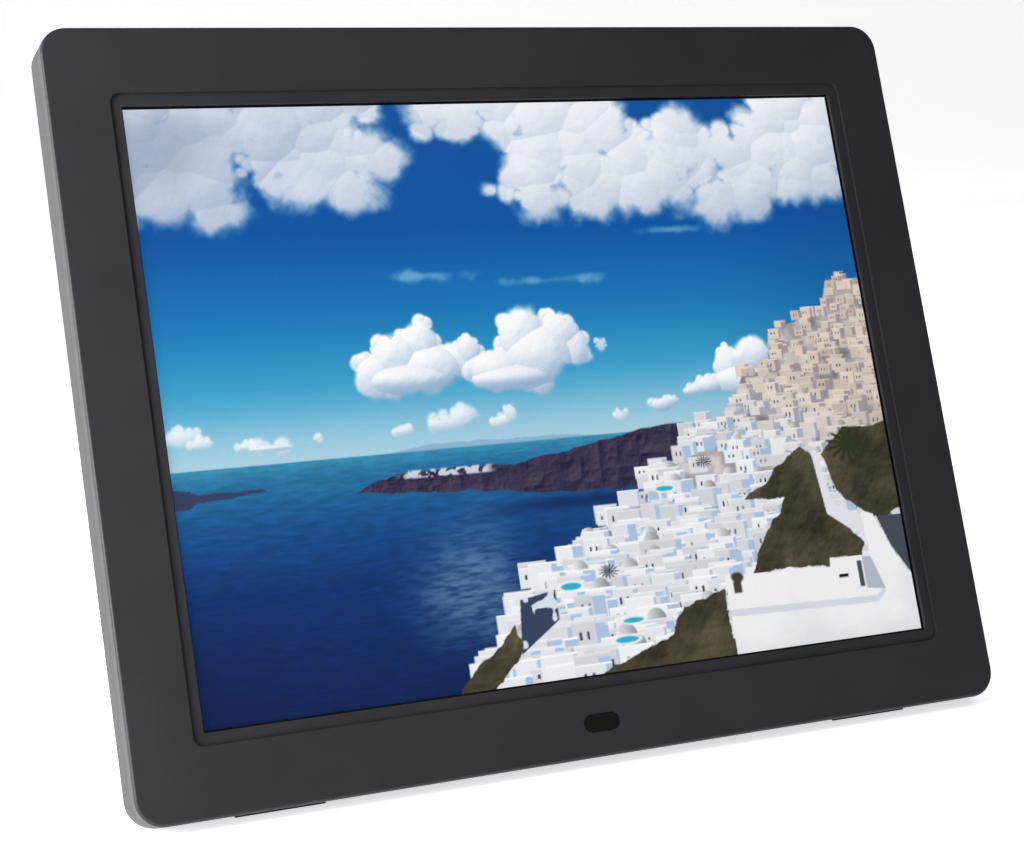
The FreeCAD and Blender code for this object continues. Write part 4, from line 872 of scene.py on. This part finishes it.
    def house(self, x: float, y: float, size: float) -> None:
        """Paint one house: a lit front, a shaded side, a parapet, windows and now and then a door.

        Args:
            x: the middle of its foot.
            y: its foot.
            size: its width.
        """
        chance = self.random.random(8)
        near = soft_step(np.array(y + 0.6 * (0.85 - x)), 0.5, 0.75)
        wall = self.blend((222, 206, 192), (236, 238, 244), near).ravel()
        wall = wall * (0.88 + 0.14 * chance[0])
        shade = self.blend((160, 148, 152), (172, 194, 222), near).ravel()
        half, tall = size / 2, size * (0.6 + 0.6 * chance[1])
        split = x + half * (0.1 + 0.8 * chance[2])
        self.patch(x - half, split, y - tall, y, wall)
        self.patch(split, x + half, y - tall * (0.85 + 0.15 * chance[3]), y, shade)
        self.patch(x - half, x + half, y - tall, y - tall + size * 0.07, np.minimum(wall + 14, 250))
        self.patch(x - half, x + half, y - size * 0.035, y, wall * 0.72)
        if chance[4] > 1.0 - self.window_chance:
            for step in (-0.6, -0.15):
                left = x + half * step
                self.patch(left, left + size * 0.08, y - tall * 0.66, y - tall * 0.42, (58, 64, 88))
        if chance[5] > 1.0 - self.door_chance:
            self.patch(x - half * 0.3, x - half * 0.3 + size * 0.13, y - tall * 0.4, y,
                       (104, 164, 206))
        if chance[6] > 1.0 - self.dome_chance:
            self.dome(x, y - tall, half * 0.6, wall)

    def dome(self, x: float, y: float, radius: float, colour: np.ndarray) -> None:
        """Paint a half round roof above a foot line.

        Args:
            x: the middle of its foot.
            y: its foot.
            radius: its half width.
            colour: its lit colour.
        """
        window = self.window(x - radius, x + radius, y - radius * 1.4, y)
        across, down = (self.x[window] - x) / radius, (self.y[window] - y) / (radius * 1.33)
        light = np.clip(0.85 - 0.2 * across, 0, 1.05)
        self.lay(colour * light[..., None], (np.hypot(across, down) < 1.0).astype(np.float32),
                 window)

    def paint_village(self) -> None:
        """Lay the hillside, then its houses from the far ones to the near ones, then the green."""
        cover = self.inside(self.hillside, 0.012, 36.0)
        ground = self.blend((128, 122, 126), (214, 208, 204), self.noise(44.0, 5) * 1.8 - 0.4)
        self.lay(ground, cover)
        places = self.random.random((self.houses * 3, 2)) * (0.66, 0.68) + (0.35, self.hill_top)
        places = places[np.argsort(places[:, 1])]
        for x, y in places:
            row, column = min(int(y * self.high), self.high - 1), int(min(x, 0.999) * self.wide)
            if cover[row, column]:
                nearness = ((y - self.hill_top) / (1.0 - self.hill_top)) ** 1.4
                size = self.house_far + (self.house_near - self.house_far) * nearness
                self.house(x, y, size)
        terrace = self.inside(self.terrace)
        self.lay((52, 66, 92), terrace)
        self.lay((214, 222, 236), terrace * (self.noise(110.0, 1) > 0.68))
        for x, y, across, down in self.pools:
            self.lay((238, 240, 244), self.blob((x, y, across * 1.3, down * 1.7), 0.1, 20.0, 0.2))
            self.lay((48, 176, 200), self.blob((x, y, across, down), 0.1, 20.0, 0.2))
        self.paint_green()

    def paint_green(self) -> None:
        """Lay scrub and garden green between the houses, and the palm's fronds."""
        leaf = 0.9 * self.relief(0.002 * self.noise(90.0, 4)) - 0.25 + 0.9 * self.noise(22.0, 5)
        colour = self.blend((34, 34, 26), (122, 110, 82), leaf - 0.2)
        for outline in self.green:
            self.lay(colour, self.inside(outline, 0.022, 34.0))
        self.lay((226, 228, 236), self.inside(self.path))
        for x, y, size in self.palms:
            turn = np.arctan2(self.y - y, self.x - x)
            reach = np.hypot(self.x - x, (self.y - y) * 1.1) / size
            fronds = np.abs(np.sin(turn * 6.5 + 1.4 * reach))
            self.lay((44, 52, 34), soft_step(fronds - reach, 0.0, 0.25))

    def paint_near_house(self) -> None:
        """Lay the near white building along the lower right, with its terrace and small window."""
        soft = self.noise(12.0, 5) - 0.5
        wall = self.blend((198, 206, 224), (243, 242, 243), 1.15 - (self.y - 0.86) * 3.4 + soft)
        self.lay(wall, self.inside(self.near_front))
        self.lay((70, 74, 88), self.inside(self.near_steps))
        self.lay((206, 212, 226), 0.8 * self.inside(self.near_ledge))
        self.lay((150, 160, 182), 0.7 * self.inside(self.near_shade))
        self.patch(*self.near_window, (16, 18, 24))
        self.patch(*self.near_door, (74, 78, 90))
        self.patch(*self.near_pot, (66, 62, 60))
        self.lay((60, 64, 46), self.blob(self.near_shrub, 1.0, 40.0, 0.3))

    def paint(self) -> np.ndarray:
        """Paint the whole view.

        Returns:
            Linear colours, rows by columns by 3, averaged down from the finer raster.
        """
        self.paint_sky()
        self.paint_sea()
        self.paint_headland()
        self.paint_village()
        self.paint_near_house()
        fine = linear(np.clip(self.image, 0, 255))
        step = self.fineness
        return fine.reshape(self.rows, step, self.columns, step, 3).mean(axis=(1, 3))


@dataclass
class Display:
    """The lit picture, just proud of the glass inside the bezel's opening, in four equal tiles."""

    panel: Panel
    width: float = 304.1 * MM
    height: float = 228.1 * MM
    proud: float = 0.04 * MM

    def build(self) -> list[bpy.types.Object]:
        """Make flat grids over the picture's area and paint their points.

        Returns:
            The picture's tiles, riding on the case.
        """
        art = SeasidePicture()
        low, high = self.panel.extent("display_glass")
        middle = (low + high) / 2.0
        x = middle[0] + self.width * (np.arange(art.columns) / (art.columns - 1) - 0.5)
        z = middle[2] + self.height * (0.5 - np.arange(art.rows) / (art.rows - 1))
        across, up = np.meshgrid(x, z)
        points = np.stack([across, np.full_like(across, low[1] - self.proud), up], axis=-1)
        points = self.panel.to_row(points)
        colours = np.concatenate([art.paint(), np.ones((art.rows, art.columns, 1))], axis=-1)
        glow = LitPicture("lit_display").build()
        pieces = []
        rows, columns = art.rows // 2, art.columns // 2
        for down in (0, rows):
            for right in (0, columns):
                part = (slice(down, down + rows + 1), slice(right, right + columns + 1))
                piece = add_surface(f"display_picture_{len(pieces) + 1}", points[part], flip=True)
                layer = piece.data.color_attributes.new("paint", "FLOAT_COLOR", "POINT")
                layer.data.foreach_set("color", colours[part].astype(np.float32).ravel())
                piece.data.materials.append(glow)
                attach(piece, CASE)
                pieces.append(piece)
        return pieces


@dataclass
class Case:
    """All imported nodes, dressed in the finish of their record's slot."""

    frame: dict

    def dress(self) -> None:
        """Give every node the finish that its slot names."""
        made = {finish.name: finish.value.build() for finish in Finish}
        for part in self.frame["record"]["subparts"]:
            node = self.frame["nodes"][part["node"]]
            for place in node.material_slots:
                place.material = made[part["material_slot"]]
            LOG.info("dressed %s", part["node"])


# ---------------------------------------------------------------- studio

@dataclass(frozen=True)
class SoftLight:
    """A rectangular light that faces the object."""

    name: str
    place: tuple[float, float, float]
    size: Point
    power: float


@dataclass
class Studio:
    """White sweep, soft lights and the camera."""

    panel: Panel
    lights: tuple[SoftLight, ...] = (
        SoftLight("key_from_left", (-0.72, -0.34, 0.4), (0.45, 0.6), 14.0),
        SoftLight("fill_from_above", (0.1, -0.9, 1.7), (1.4, 1.0), 1.0),
        SoftLight("edge_from_left_behind", (-1.5, 1.0, 0.4), (1.4, 1.0), 26.0),
        SoftLight("rim_from_behind", (0.9, 1.3, 1.3), (1.2, 0.9), 10.0))
    lens: float = 74.4
    camera_from: tuple[float, float, float] = (-0.3526, -0.7265, 0.1378)
    camera_to: tuple[float, float, float] = (-0.0180, -0.0059, -0.0152)
    surrounding: float = 0.1
    sweep_half: float = 4.0
    sweep_front: float = -3.0
    sweep_back: float = 2.2
    sweep_radius: float = 1.2
    sweep_high: float = 3.5
    sweep_steps: int = 24
    sweep_glow: float = 0.62

    def build(self) -> None:
        """Build the sweep, the lights, the surrounding light and the camera."""
        self.add_sweep()
        for light in self.lights:
            self.add_light(light)
        self.add_surrounding()
        self.add_camera()

    def add_surrounding(self) -> None:
        """Surround the scene with white that is seen in full and lights the object faintly."""
        world = bpy.data.worlds.new("studio")
        world.use_nodes = True
        ground = world.node_tree.nodes["Background"]
        ground.inputs["Color"].default_value = (1.0, 1.0, 1.0, 1.0)
        seen = world.node_tree.nodes.new("ShaderNodeLightPath").outputs["Is Camera Ray"]
        strength = world.node_tree.nodes.new("ShaderNodeMapRange")
        strength.inputs["To Min"].default_value = self.surrounding
        world.node_tree.links.new(seen, strength.inputs["Value"])
        world.node_tree.links.new(strength.outputs["Result"], ground.inputs["Strength"])
        bpy.context.scene.world = world
        bpy.context.scene.view_settings.view_transform = "Standard"

    def add_sweep(self) -> None:
        """Make floor and backdrop as one sheet: flat, then a quarter round, then upright."""
        turn = np.linspace(0.0, math.pi / 2, self.sweep_steps)
        wall = self.sweep_back + self.sweep_radius
        y = np.concatenate([[self.sweep_front], self.sweep_back + self.sweep_radius * np.sin(turn),
                            [wall]])
        z = np.concatenate([[0.0], self.sweep_radius * (1 - np.cos(turn)), [self.sweep_high]])
        x = np.array([-self.sweep_half, self.sweep_half])
        across, along = np.meshgrid(x, y)
        points = np.stack([across, along, np.broadcast_to(z[:, None], across.shape)], axis=-1)
        sweep = add_surface("studio_sweep", points)
        graph = Graph("white_paper")
        graph.join(graph.ramp(graph.noise(3.0), (0.9, 0.9, 0.9), (0.93, 0.93, 0.93)),
                   graph.shader.inputs["Base Color"])
        graph.shader.inputs["Roughness"].default_value = 0.9
        graph.shader.inputs["Emission Color"].default_value = (1.0, 1.0, 1.0, 1.0)
        graph.shader.inputs["Emission Strength"].default_value = self.sweep_glow
        sweep.data.materials.append(graph.material)

    def add_light(self, light: SoftLight) -> None:
        """Add a soft light that faces the middle of the front face."""
        lamp = bpy.data.lights.new(light.name, "AREA")
        lamp.shape = "RECTANGLE"
        lamp.size, lamp.size_y = light.size
        lamp.energy = light.power
        self.place(bpy.data.objects.new(light.name, lamp), Vector(light.place),
                   Vector(self.panel.origin))

    def add_camera(self) -> None:
        """Add the camera, placed and aimed relative to the middle of the front face."""
        camera = bpy.data.cameras.new("camera")
        camera.lens = self.lens
        holder = bpy.data.objects.new("camera", camera)
        middle = Vector(self.panel.origin)
        self.place(holder, middle + Vector(self.camera_from), middle + Vector(self.camera_to))
        bpy.context.scene.camera = holder

    def place(self, holder: bpy.types.Object, start: Vector, target: Vector) -> None:
        """Put a light or camera in its place, and turn it to face its target.

        Args:
            holder: the light's or the camera's object.
            start: its place.
            target: what it faces.
        """
        holder.location = start
        holder.rotation_euler = (target - start).to_track_quat("-Z", "Y").to_euler()
        bpy.context.scene.collection.objects.link(holder)


def main() -> None:
    """Load the frame, dress it, add the visual pieces and the studio."""
    logging.basicConfig(level=logging.INFO, format="%(name)s: %(message)s")
    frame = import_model()
    panel = Panel(frame)
    Case(frame).dress()
    for piece in Display(panel).build():
        LOG.info("made %s", piece.name)
    Studio(panel).build()


if __name__ == "__main__":
    main()
